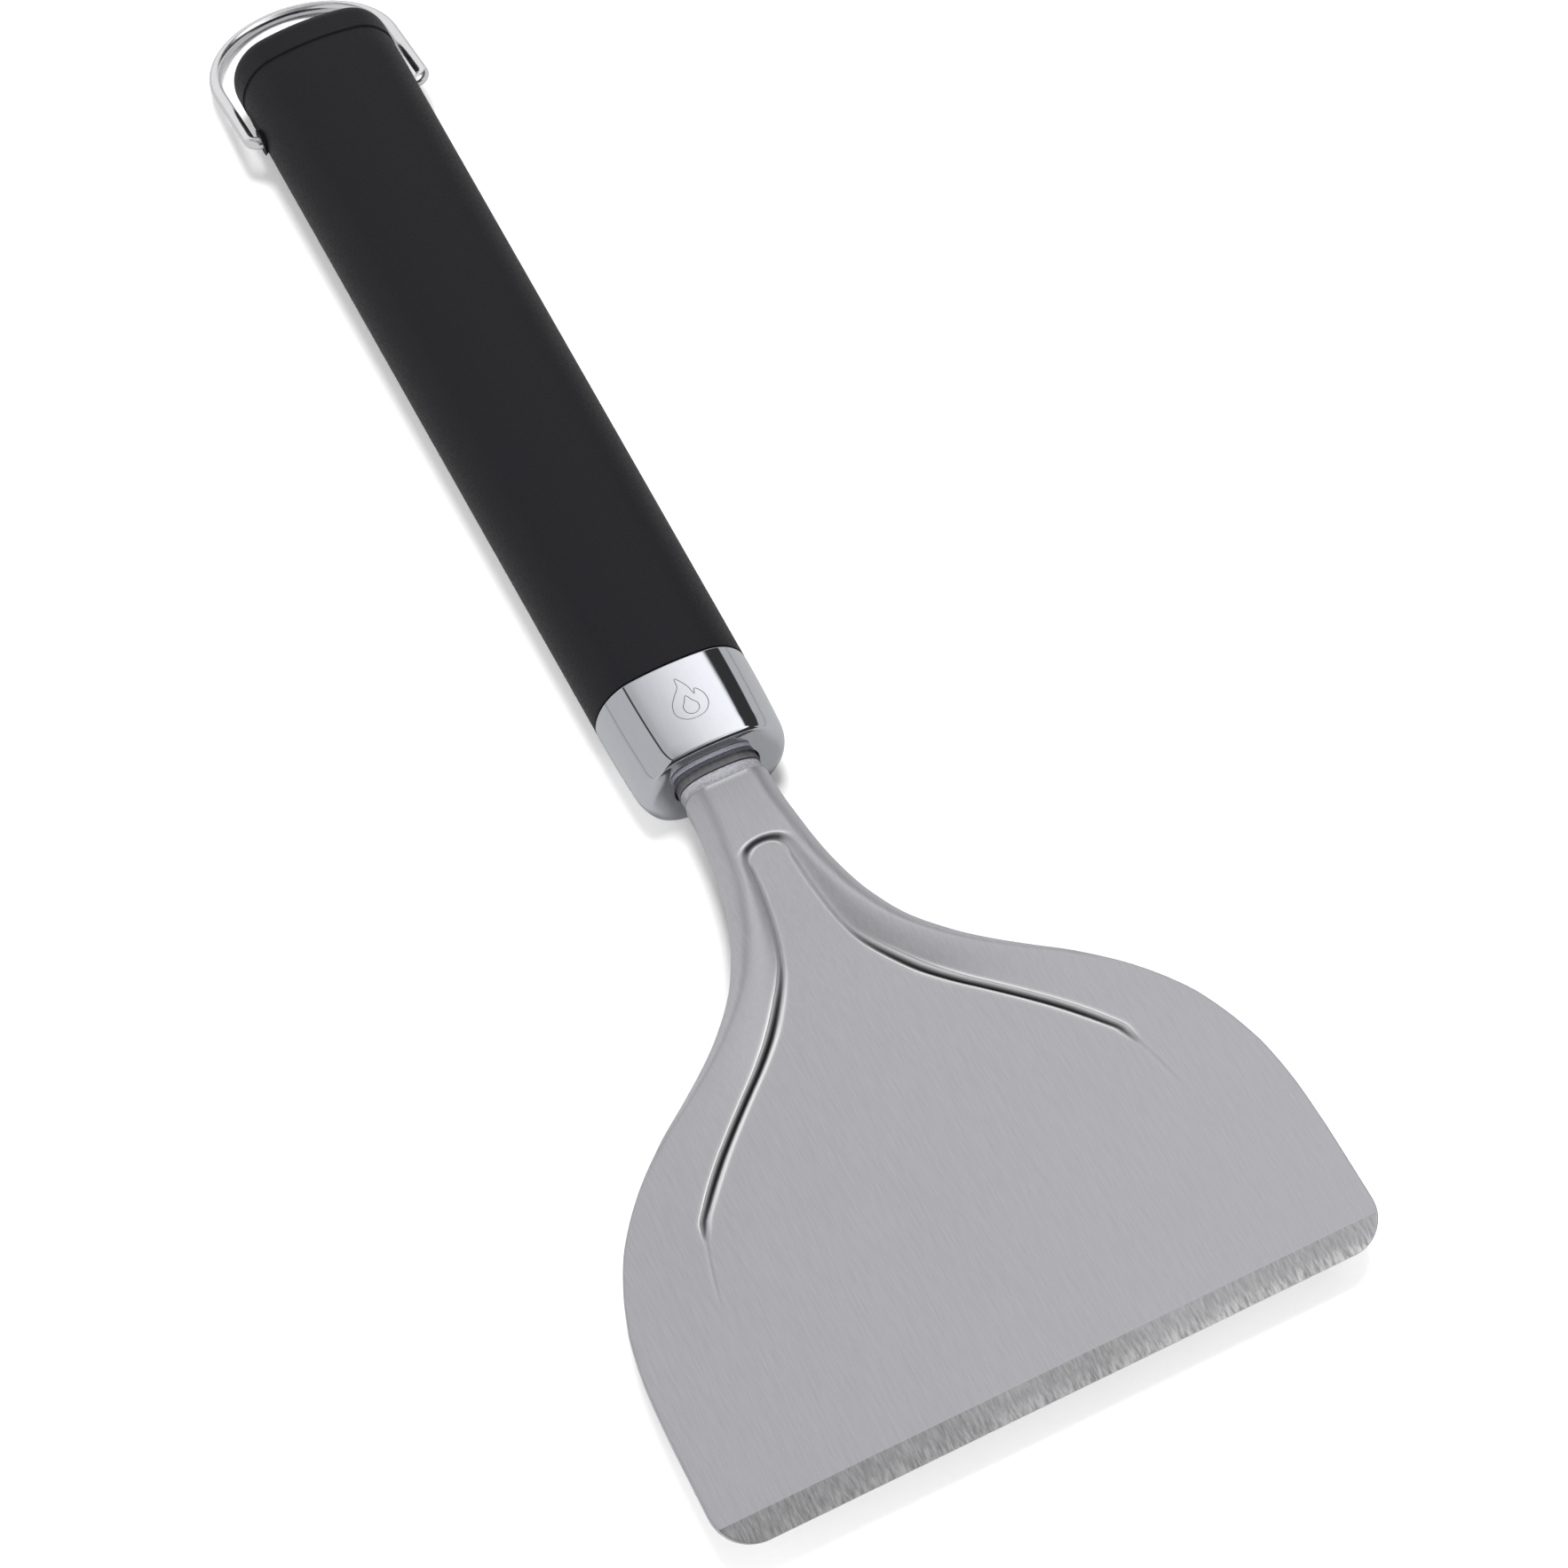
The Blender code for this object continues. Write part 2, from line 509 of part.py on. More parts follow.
# ---------------------------------------------------------------- bail
def bail_path():
    """Right half of the wire's centre line in its own plane: across, then back from the hinge."""
    pts = [(BAIL_IN, 0.0), (BAIL_HALF - BAIL_ELBOW, 0.0)]
    for k in range(1, 5):
        a = math.pi / 2 * k / 4
        pts.append((BAIL_HALF - BAIL_ELBOW * (1 - math.sin(a)), BAIL_ELBOW * (1 - math.cos(a))))
    leg = BAIL_L - BAIL_ARCH
    pts.append((BAIL_HALF, leg * 0.6))
    for k in range(0, 11):
        a = math.pi / 2 * k / 10
        pts.append((BAIL_HALF * math.cos(a), leg + BAIL_ARCH * math.sin(a)))
    return pts


def build_bail(mat, count=12):
    half = bail_path()
    path = half + [(-x, s) for x, s in half[-2::-1]]
    rings = []
    for k, (x, s) in enumerate(path):
        a, b = path[max(k - 1, 0)], path[min(k + 1, len(path) - 1)]
        tx, ts = b[0] - a[0], b[1] - a[1]
        size = math.hypot(tx, ts)
        nx, ns = -ts / size, tx / size
        ring = []
        for j in range(count):
            c = WIRE_R * math.cos(2 * math.pi * j / count)
            d = WIRE_R * math.sin(2 * math.pi * j / count)
            px, ps = x + nx * c, s + ns * c
            ring.append(Vector((px, HINGE_Y - MID_Y + ps * math.cos(DROOP) + d * math.sin(DROOP),
                                AXIS_Z - ps * math.sin(DROOP) + d * math.cos(DROOP))))
        rings.append(ring)
    loft("bail", rings, mat, origin=Vector((0, HINGE_Y - MID_Y, AXIS_Z)))


# ---------------------------------------------------------------- build everything
def main():
    for obj in list(bpy.data.objects):
        bpy.data.objects.remove(obj, do_unlink=True)
    build_blade(material("blade_steel", (0.56, 0.56, 0.57), 1.0, 0.34))
    build_tang(material("tang_steel", (0.45, 0.45, 0.46), 1.0, 0.45))
    build_fixings(material("washer_steel", (0.58, 0.58, 0.58), 1.0, 0.4))
    build_collar(material("seal_rubber", (0.09, 0.09, 0.10), 0.0, 0.6),
                 material("collar_nylon", (0.055, 0.055, 0.06), 0.0, 0.5))
    build_ferrule(material("ferrule_chrome", (0.80, 0.80, 0.82), 1.0, 0.06))
    build_handle(material("core_nylon", (0.05, 0.05, 0.05), 0.0, 0.6),
                 material("grip_black", (0.018, 0.018, 0.020), 0.0, 0.55),
                 material("cap_black", (0.020, 0.020, 0.022), 0.0, 0.5))
    build_bail(material("bail_wire", (0.70, 0.70, 0.71), 1.0, 0.2))


main()
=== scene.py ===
"""Grill spatula: pressed steel blade, chrome ferrule, soft black grip and a swinging wire bail.

Metres, +Z up, the handle along +Y and the blade pointing to -Y.  Stations along the tool are
measured back from the blade's front edge, and heights from the handle's axis.
"""
import json
import math

import bmesh
import bpy
from bpy.props import FloatProperty, FloatVectorProperty, PointerProperty
from mathutils import Matrix, Vector


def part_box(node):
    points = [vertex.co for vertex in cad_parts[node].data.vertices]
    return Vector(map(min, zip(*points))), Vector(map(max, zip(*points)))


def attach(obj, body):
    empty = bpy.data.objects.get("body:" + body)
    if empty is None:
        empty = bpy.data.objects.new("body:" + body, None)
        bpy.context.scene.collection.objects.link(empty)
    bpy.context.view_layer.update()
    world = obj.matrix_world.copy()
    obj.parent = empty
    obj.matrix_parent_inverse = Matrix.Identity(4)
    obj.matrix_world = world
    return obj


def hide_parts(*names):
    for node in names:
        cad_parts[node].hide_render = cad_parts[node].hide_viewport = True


bl_info = {
    "name": "Grill Spatula",
    "version": (1, 0, 0),
    "blender": (4, 5, 0),
    "location": "View3D > Sidebar > Spatula",
    "description": "Builds a wide griddle spatula piece by piece",
    "category": "Add Mesh",
}

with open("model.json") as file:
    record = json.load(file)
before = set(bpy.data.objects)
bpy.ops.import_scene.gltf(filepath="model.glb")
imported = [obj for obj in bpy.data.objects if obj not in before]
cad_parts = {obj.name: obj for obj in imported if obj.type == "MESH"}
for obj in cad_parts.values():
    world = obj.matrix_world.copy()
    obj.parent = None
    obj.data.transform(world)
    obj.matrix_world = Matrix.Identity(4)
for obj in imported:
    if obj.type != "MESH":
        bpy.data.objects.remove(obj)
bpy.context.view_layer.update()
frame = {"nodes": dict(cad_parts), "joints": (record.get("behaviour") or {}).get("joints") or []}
TOOL, BAIL = "tool", "bail"
MM = 0.001

# ------------------------------------------------------------------ places taken from the frame
FRONT_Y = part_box("blade")[0].y
NECK_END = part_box("blade")[1].y - FRONT_Y
AXIS_Z = (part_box("handle_grip")[0].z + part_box("handle_grip")[1].z) / 2
FERRULE_0, FERRULE_1 = (v.y - FRONT_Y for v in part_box("ferrule"))
COLLAR_0, COLLAR_1 = (v.y - FRONT_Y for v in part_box("neck_collar"))
SEAL_0, SEAL_1 = (v.y - FRONT_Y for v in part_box("neck_seal"))
GRIP_0, GRIP_1 = (v.y - FRONT_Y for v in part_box("handle_grip"))
CAP_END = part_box("end_cap")[1].y - FRONT_Y
HINGE = Vector(frame["joints"][0]["pos_m"])


def size(name, description, millimetres):
    """A length property given in millimetres."""
    return FloatProperty(name=name, description=description, default=millimetres * MM,
                         unit="LENGTH", subtype="DISTANCE", precision=5)


def colour(name, description, value):
    return FloatVectorProperty(name=name, description=description, default=value, size=3,
                               min=0.0, max=1.0, subtype="COLOR")


class BladeSizes(bpy.types.PropertyGroup):
    width: size("Width", "Widest width of the blade", 143.1)
    sheet: size("Sheet", "Thickness of the pressed sheet", 1.6)
    edge: size("Edge", "Thickness left at the ground front edge", 0.4)
    bevel: size("Bevel", "Length of the ground bevel", 5.5)
    corner: size("Corner", "Front corner radius", 8.6)
    up: size("Height", "Upper face of the blade above the handle axis", 1.2)
    neck_half: size("Neck half width", "Half width of the neck", 9.7)
    neck_top: size("Neck top", "Top of the neck above the handle axis", 7.0)
    neck_rim: size("Neck rim", "Lower rim of the neck below the handle axis", 0.5)
    step: size("Step", "Drop from the neck down on to the tongue", 1.0)
    tongue_half: size("Tongue half width", "Half width of the tongue where it starts", 4.0)
    groove_deep: size("Groove depth", "Depth of the two pressed grooves", 1.3)
    groove_half: size("Groove half width", "Half width of a pressed groove", 1.35)
    step_run: size("Step run", "Length that the crescent-shaped step takes", 1.1)
    rim_round: size("Rim rounding", "How far the sheet's cut edge bulges", 0.25)


class HandleSizes(bpy.types.PropertyGroup):
    half_front: size("Front half width", "Half width at the ferrule", 17.8)
    half_rear: size("Rear half width", "Half width at the end cap", 19.6)
    thick: size("Thickness", "Thickness of the grip", 25.5)
    top_radius: size("Crown radius", "Radius of the broad faces", 58.0)
    side_radius: size("Side radius", "Radius of the rounded sides", 10.8)
    wall: size("Grip wall", "Thickness of the soft shell", 2.0)
    soft_edge: size("Soft edge", "Rounding where two pieces meet", 0.2)
    cap_crown: size("Cap crown", "How far the cap's end bulges", 1.6)
    cap_edge: size("Cap edge", "Rounding of the cap's upper and lower edges", 3.0)
    cap_side: size("Cap side", "How far the cap's rounded sides come in", 2.0)
    cap_turn: size("Cap turn", "Length in which the cap's sides come in", 4.0)
    hole: size("Wire hole", "Radius of the hole round each wire end", 2.3)


class FerruleSizes(bpy.types.PropertyGroup):
    taper: size("Taper", "How much each side draws in towards the front", 0.9)
    wall: size("Wall", "Wall of the ferrule", 1.6)
    edge: size("Edge", "Length of the rounded front's sides", 4.9)
    brow: size("Brow", "Length of the rounded front's top and bottom", 1.5)
    drop: size("Drop", "How far the rounding comes down from the top", 5.0)
    draw: size("Draw", "How far the rounding comes in from each side", 2.4)
    collar_half: size("Collar half width", "Half width of collar and seal", 9.4)
    collar_top: size("Collar top", "Top of collar and seal above the handle axis", 6.4)
    collar_low: size("Collar low", "Underside of collar and seal below the handle axis", 5.0)
    collar_corner: size("Collar corner", "Corner radius of collar and seal", 5.0)
    mark_line: size("Mark line", "Width of the etched flame's line", 0.28)


class BailSizes(bpy.types.PropertyGroup):
    wire: size("Wire radius", "Radius of the bail wire", 1.45)
    half: size("Half width", "Half width between the two legs", 22.2)
    length: size("Length", "Hinge to the middle of the arch", 46.5)
    arch: size("Arch", "Length of the arch part", 22.5)
    elbow: size("Elbow", "Bend radius at each end", 2.8)
    inner: size("Wire end", "Half distance between the two wire ends", 12.5)


class Finishes(bpy.types.PropertyGroup):
    steel: colour("Steel", "Brushed blade", (0.63, 0.63, 0.66))
    # lip colour: painted highlight on the pressed lines' lips, the crescent, the neck's rear rim
    # and the bevel's front
    pressed: colour("Pressed", "Bright lips of the grooves", (0.95, 0.95, 0.95))
    bevel: colour("Bevel", "Ground front bevel", (0.48, 0.48, 0.49))
    chrome: colour("Chrome", "Polished ferrule", (0.60, 0.61, 0.65))
    wire: colour("Wire", "Polished bail", (0.86, 0.86, 0.88))
    grip: colour("Grip", "Soft-touch black", (0.0055, 0.0052, 0.0070))
    collar: colour("Collar", "Dark grey collar", (0.075, 0.075, 0.08))
    seal: colour("Seal", "Grey seal", (0.27, 0.27, 0.29))
    floor: colour("Floor", "Pale floor", (0.93, 0.93, 0.93))


# ------------------------------------------------------------------ shape tables
BLADE_SHAPE = (              # station as a part of the length, how far the half width opens out
    (0.000, 0.999), (0.107, 1.000), (0.161, 1.000), (0.201, 0.998), (0.241, 0.994),
    (0.268, 0.988), (0.295, 0.979), (0.322, 0.967), (0.348, 0.949), (0.375, 0.927),
    (0.402, 0.900), (0.429, 0.868), (0.455, 0.827), (0.482, 0.777), (0.509, 0.718),
    (0.536, 0.649), (0.563, 0.572), (0.589, 0.487), (0.616, 0.403), (0.636, 0.346),
    (0.656, 0.294), (0.676, 0.249), (0.697, 0.206), (0.717, 0.171), (0.737, 0.142),
    (0.757, 0.117), (0.777, 0.094), (0.797, 0.076), (0.817, 0.060), (0.837, 0.046),
    (0.857, 0.035), (0.877, 0.026), (0.898, 0.019), (0.918, 0.013), (0.944, 0.006),
    (0.971, 0.002), (1.000, 0.000))
SHOULDER = (                 # station, height above the blade as a part of the neck's
    (0.00, 0.000), (0.47, 0.000), (0.51, 0.015), (0.545, 0.045), (0.58, 0.095), (0.615, 0.165),
    (0.65, 0.255), (0.685, 0.365), (0.72, 0.490), (0.755, 0.620), (0.79, 0.740), (0.825, 0.845),
    (0.86, 0.925), (0.93, 0.990), (1.00, 1.000))
TONGUE = (                   # station, height of the tongue as a part of its rear end's
    (0.000, 0.000), (0.620, 0.000), (0.660, 0.110), (0.700, 0.240), (0.735, 0.390),
    (0.770, 0.565), (0.805, 0.740), (0.840, 0.890), (0.867, 0.990), (0.900, 1.030),
    (1.000, 1.060))
CREASE = (                   # station, crease and groove line as a part of half the width
    (0.000, 0.735), (0.198, 0.733), (0.323, 0.714), (0.381, 0.692), (0.410, 0.667),
    (0.452, 0.602), (0.491, 0.531), (0.526, 0.458), (0.561, 0.380), (0.595, 0.303),
    (0.632, 0.231), (0.674, 0.165), (0.698, 0.133), (0.721, 0.110), (0.752, 0.091),
    (0.791, 0.076), (0.831, 0.066), (0.866, 0.061), (1.000, 0.060))
TONGUE_END = 0.8640          # station where the tongue runs into the crescent-shaped step
GROOVE = (                   # station, how deep the groove line is pressed
    (0.000, 0.000), (0.290, 0.000), (0.345, 0.045), (0.395, 0.040), (0.408, 0.300),
    (0.430, 0.700), (0.480, 0.960), (0.530, 1.000), (0.610, 1.000), (0.660, 0.800),
    (0.700, 0.420), (0.728, 0.150), (0.851, 0.120), (0.871, 0.000), (1.000, 0.000))
FLANGE = (                   # station, bend of the rim in degrees, its radius, straight wall
    (0.000, 0.5, 0.0046, 0.0010), (0.500, 0.5, 0.0046, 0.0010), (0.550, 8.0, 0.0046, 0.0010),
    (0.600, 22.0, 0.0046, 0.0010), (0.667, 45.0, 0.0046, 0.0010), (0.733, 66.0, 0.0046, 0.0013),
    (0.800, 80.0, 0.0046, 0.0018), (0.867, 88.0, 0.0047, 0.0024), (1.000, 90.0, 0.0050, 0.0025))


def table(rows, u, col=1):
    """Value of a table at station u, joined by smooth curves that never overshoot."""
    if u <= rows[0][0]:
        return rows[0][col]
    for k in range(len(rows) - 1):
        a, b = rows[k], rows[k + 1]
        if u <= b[0]:
            h = b[0] - a[0]
            d = (b[col] - a[col]) / h
            before = rows[k - 1] if k else None
            after = rows[k + 2] if k + 2 < len(rows) else None
            da = (a[col] - before[col]) / (a[0] - before[0]) if before else d
            db = (after[col] - b[col]) / (after[0] - b[0]) if after else d
            ma = 0.0 if da * d <= 0 else 2 * da * d / (da + d)
            mb = 0.0 if db * d <= 0 else 2 * db * d / (db + d)
            t = (u - a[0]) / h
            return (a[col] * (1 + 2 * t) * (1 - t) ** 2 + ma * h * t * (1 - t) ** 2
                    + b[col] * t * t * (3 - 2 * t) + mb * h * t * t * (t - 1))
    return rows[-1][col]


def clamp(t):
    return min(max(t, 0.0), 1.0)


def ease(t):
    t = clamp(t)
    return t * t * (3 - 2 * t)


def lerp(a, b, t):
    return a + (b - a) * t


# ------------------------------------------------------------------ mesh helpers
def piece(name, verts, faces, mats, body, replaced=(), sharp=40.0, marks=None):
    """A finished piece: normals out, smooth with crisp edges, riding on its body."""
    old = bpy.data.objects.get(name)
    if old:
        bpy.data.objects.remove(old)
    mesh = bpy.data.meshes.new(name)
    mesh.from_pydata([tuple(v) for v in verts], [], faces)
    for mat in mats:
        mesh.materials.append(mat)
    if marks:
        mesh.polygons.foreach_set("material_index", marks)
    bm = bmesh.new()
    bm.from_mesh(mesh)
    bmesh.ops.recalc_face_normals(bm, faces=bm.faces)
    for f in bm.faces:
        f.smooth = True
    bm.to_mesh(mesh)
    bm.free()
    mesh.set_sharp_from_angle(angle=math.radians(sharp))
    obj = bpy.data.objects.new(name, mesh)
    bpy.context.scene.collection.objects.link(obj)
    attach(obj, body)
    if replaced:
        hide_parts(*replaced)
    return obj


def skin(rings, loop=False, caps=True):
    """Points and faces over rings of equal count, closed at both ends or joined last to first."""
    n = len(rings[0])
    verts = [p for ring in rings for p in ring]
    faces = []
    for r in range(len(rings) if loop else len(rings) - 1):
        a, b = r * n, ((r + 1) % len(rings)) * n
        faces += [(a + k, a + (k + 1) % n, b + (k + 1) % n, b + k) for k in range(n)]
    if caps and not loop:
        faces += [tuple(range(n)), tuple(range((len(rings) - 1) * n, len(rings) * n))]
    return verts, faces


def place(x, y, z):
    """World point from across, station and height over the handle axis."""
    return Vector((x, y + FRONT_Y, z + AXIS_Z))


def tube(points, radius, count=24, closed=False):
    """Rings round a smooth line of points, carried along without twisting."""
    rings, side = [], None
    total = len(points)
    for k, p in enumerate(points):
        a = points[k - 1] if k or closed else points[0]
        b = points[(k + 1) % total] if k + 1 < total or closed else points[-1]
        t = (b - a).normalized()
        if side is None:
            side = t.cross(Vector((0.123, 0.02, 0.99))).normalized()
        side = (side - t * side.dot(t)).normalized()
        up = t.cross(side)
        rings.append([p + side * (radius * math.cos(2 * math.pi * j / count))
                      + up * (radius * math.sin(2 * math.pi * j / count)) for j in range(count)])
    return rings


# ------------------------------------------------------------------ shader groups
GROOVE_SHADE = (0.11, 0.11, 0.115)    # painted shade at the bottom of a pressed line and on the crescent's step
SPARK = (0.42, 0.62)         # streak values between which a ground scratch gets the painted glint


def node_group(name, inputs, outputs):
    """A shader group with its two end nodes, and whether it was there already."""
    old = bpy.data.node_groups.get(name)
    if old:
        return old, None, None, True
    tree = bpy.data.node_groups.new(name, "ShaderNodeTree")
    for label, kind, value in inputs:
        sock = tree.interface.new_socket(name=label, in_out="INPUT", socket_type=kind)
        sock.default_value = value
    for label, kind in outputs:
        tree.interface.new_socket(name=label, in_out="OUTPUT", socket_type=kind)
    return tree, tree.nodes.new("NodeGroupInput"), tree.nodes.new("NodeGroupOutput"), False


def streaks_group():
    """Long fine scratches: stretched noise in the piece's own space, with soft patches."""
    tree, gin, gout, done = node_group("Brushed Streaks", [
        ("Across", "NodeSocketFloat", 3000.0), ("Along", "NodeSocketFloat", 200.0),
        ("Patch Scale", "NodeSocketFloat", 30.0)],
        [("Streaks", "NodeSocketFloat"), ("Patches", "NodeSocketFloat")])
    if done:
        return tree
    n, l = tree.nodes, tree.links
    coord = n.new("ShaderNodeTexCoord")
    scale = n.new("ShaderNodeCombineXYZ")
    l.new(gin.outputs["Across"], scale.inputs["X"])
    l.new(gin.outputs["Along"], scale.inputs["Y"])
    l.new(gin.outputs["Across"], scale.inputs["Z"])
    mul = n.new("ShaderNodeVectorMath")
    mul.operation = "MULTIPLY"
    l.new(coord.outputs["Object"], mul.inputs[0])
    l.new(scale.outputs["Vector"], mul.inputs[1])
    fine = n.new("ShaderNodeTexNoise")
    fine.inputs["Scale"].default_value = 1.0
    fine.inputs["Detail"].default_value = 3.0
    fine.inputs["Roughness"].default_value = 0.65
    l.new(mul.outputs["Vector"], fine.inputs["Vector"])
    patch = n.new("ShaderNodeTexNoise")
    patch.inputs["Detail"].default_value = 4.0
    l.new(coord.outputs["Object"], patch.inputs["Vector"])
    l.new(gin.outputs["Patch Scale"], patch.inputs["Scale"])
    l.new(fine.outputs["Fac"], gout.inputs["Streaks"])
    l.new(patch.outputs["Fac"], gout.inputs["Patches"])
    return tree


def grain_group():
    """Moulded skin: a very fine even grain and slow handling marks."""
    tree, gin, gout, done = node_group("Moulded Grain", [
        ("Grain Scale", "NodeSocketFloat", 2500.0), ("Mark Scale", "NodeSocketFloat", 40.0)],
        [("Grain", "NodeSocketFloat"), ("Marks", "NodeSocketFloat")])
    if done:
        return tree
    n, l = tree.nodes, tree.links
    coord = n.new("ShaderNodeTexCoord")
    grain = n.new("ShaderNodeTexVoronoi")
    l.new(coord.outputs["Object"], grain.inputs["Vector"])
    l.new(gin.outputs["Grain Scale"], grain.inputs["Scale"])
    marks = n.new("ShaderNodeTexNoise")
    marks.inputs["Detail"].default_value = 5.0
    marks.inputs["Roughness"].default_value = 0.6
    l.new(coord.outputs["Object"], marks.inputs["Vector"])
    l.new(gin.outputs["Mark Scale"], marks.inputs["Scale"])
    l.new(grain.outputs["Distance"], gout.inputs["Grain"])
    l.new(marks.outputs["Fac"], gout.inputs["Marks"])
    return tree


def surface(name, group, values, fine, slow, base, tint, metallic, rough, bump, specular=0.5):
    """A material: colour from the slow pattern and the fine one, roughness from both."""
    mat = bpy.data.materials.get(name)
    if mat:
        return mat
    mat = bpy.data.materials.new(name)
    mat.use_nodes = True
    n, l = mat.node_tree.nodes, mat.node_tree.links
    bsdf = n["Principled BSDF"]
    grp = n.new("ShaderNodeGroup")
    grp.node_tree = group
    for key, value in values.items():
        grp.inputs[key].default_value = value
    blend = n.new("ShaderNodeMath")
    blend.operation = "MULTIPLY_ADD"
    l.new(grp.outputs[fine], blend.inputs[0])
    blend.inputs[1].default_value = 0.7
    half = n.new("ShaderNodeMath")
    half.operation = "MULTIPLY"
    half.inputs[1].default_value = 0.3
    l.new(grp.outputs[slow], half.inputs[0])
    l.new(half.outputs[0], blend.inputs[2])
    mix = n.new("ShaderNodeMix")
    mix.data_type = "RGBA"
    mix.inputs["A"].default_value = (*base, 1.0)
    mix.inputs["B"].default_value = (*tint, 1.0)
    spread = n.new("ShaderNodeMapRange")
    spread.inputs["From Min"].default_value = 0.25
    spread.inputs["From Max"].default_value = 0.75
    l.new(blend.outputs[0], spread.inputs["Value"])
    l.new(spread.outputs["Result"], mix.inputs["Factor"])
    l.new(mix.outputs["Result"], bsdf.inputs["Base Color"])
    wear = n.new("ShaderNodeMapRange")
    wear.inputs["From Min"].default_value = 0.25
    wear.inputs["From Max"].default_value = 0.75
    wear.inputs["To Min"].default_value = rough[0]
    wear.inputs["To Max"].default_value = rough[1]
    l.new(blend.outputs[0], wear.inputs["Value"])
    l.new(wear.outputs["Result"], bsdf.inputs["Roughness"])
    if bump[0] > 0:
        dent = n.new("ShaderNodeBump")
        dent.inputs["Strength"].default_value = bump[0]
        dent.inputs["Distance"].default_value = bump[1]
        l.new(grp.outputs[fine], dent.inputs["Height"])
        l.new(dent.outputs["Normal"], bsdf.inputs["Normal"])
    bsdf.inputs["Metallic"].default_value = metallic
    bsdf.inputs["Specular IOR Level"].default_value = specular
    return mat


def shade(rgb, factor):
    return tuple(min(c * factor, 1.0) for c in rgb)


def brushed(name, rgb, across=2600.0, along=150.0, contrast=0.13, rough=(0.42, 0.56),
            bump=(0.30, 0.00004)):
    """Steel scratched along the tool."""
    return surface(name, streaks_group(), {"Across": across, "Along": along, "Patch Scale": 35.0},
                   "Streaks", "Patches", shade(rgb, 1 - contrast), shade(rgb, 1 + contrast),
                   1.0, rough, bump)


def polished(name, rgb, rough=(0.03, 0.08)):
    """Mirror finish with a trace of wiping marks."""
    return surface(name, streaks_group(), {"Across": 900.0, "Along": 250.0, "Patch Scale": 60.0},
                   "Streaks", "Patches", shade(rgb, 0.97), shade(rgb, 1.03), 1.0, rough,
                   (0.0, 0.0))


def moulded(name, rgb, rough=(0.46, 0.62)):
    """Dull moulded rubber or nylon with a fine grain."""
    return surface(name, grain_group(), {"Grain Scale": 1700.0, "Mark Scale": 45.0},
                   "Grain", "Marks", shade(rgb, 0.86), shade(rgb, 1.2), 0.0, rough,
                   (0.55, 0.00006), specular=0.28)


def paint_pressing_light(mat, bright, speckle=False):
    """Painted highlights on the lips and painted shade in the bottoms along the pressed lines,
    held by the mesh's attributes.
    """
    n, l = mat.node_tree.nodes, mat.node_tree.links
    bsdf = n["Principled BSDF"]
    colour_in, rough_in = bsdf.inputs["Base Color"], bsdf.inputs["Roughness"]
    last, rough = colour_in.links[0].from_socket, rough_in.links[0].from_socket
    for name, target, dull in (("bright", (*bright, 1.0), 0.32),
                               ("dark", (*GROOVE_SHADE, 1.0), 0.6)):
        mark = n.new("ShaderNodeAttribute")
        mark.attribute_name = name
        amount = mark.outputs["Fac"]
        # with speckle the painted highlight and shade show only where a scratch's streak value
        # glints
        if speckle:
            spark, both = n.new("ShaderNodeMapRange"), n.new("ShaderNodeMath")
            spark.inputs["From Min"].default_value = SPARK[0]
            spark.inputs["From Max"].default_value = SPARK[1]
            l.new(n["Group"].outputs[0], spark.inputs["Value"])
            both.operation = "MULTIPLY"
            l.new(amount, both.inputs[0])
            l.new(spark.outputs["Result"], both.inputs[1])
            amount = both.outputs[0]
        mix = n.new("ShaderNodeMix")
        mix.data_type = "RGBA"
        l.new(amount, mix.inputs["Factor"])
        l.new(last, mix.inputs["A"])
        mix.inputs["B"].default_value = target
        last = mix.outputs["Result"]
        even = n.new("ShaderNodeMix")
        l.new(amount, even.inputs["Factor"])
        l.new(rough, even.inputs["A"])
        even.inputs["B"].default_value = dull
        rough = even.outputs["Result"]
    l.new(last, colour_in)
    l.new(rough, rough_in)


# ------------------------------------------------------------------ blade
TONGUE_RISE = 0.965          # height of the tongue's end before the step, as a part of the neck's
# middle and width of each line, across the crescent's step and across a groove: painted highlight
# at the crescent's lip and foot and along a groove's lips, painted shade on the crescent's slope
# and in a groove's bottom; GROOVE_LIP only raises the groove's lips in the sheet
CRESCENT_LIP, CRESCENT_FOOT, CRESCENT_DARK = (1.25, 0.30), (-0.22, 0.16), (0.45, 0.42)
GROOVE_LIP, GROOVE_SHINE, GROOVE_DARK = (1.15, 0.40), (1.08, 0.52), (0.0, 0.44)
LIP_HEIGHT = 0.06            # height of a groove's lips as a part of its depth
REAR_SHINE = (0.0003, 0.0004)          # painted highlight along the neck's rear rim
ROW, BODY_END = 0.0009, 0.1265         # distance of the blade's rows of points, and their end
FINE_ROWS = (0.1270, 0.00022, 40)      # rows over the crescent: start, distance, count
NECK_ROWS = (0.1362, 0.0008, 16)       # rows over the neck
CREASE_EASE = 0.00012        # distance of the rows that keep the bevel's upper line crisp
BEVEL_SHINE = 0.62                  # part of the bevel, from its front edge back, that gets a painted highlight
SHINE_LEFT, SHINE_RIGHT = 0.10, 0.62     # strength of that painted highlight at its left and right end


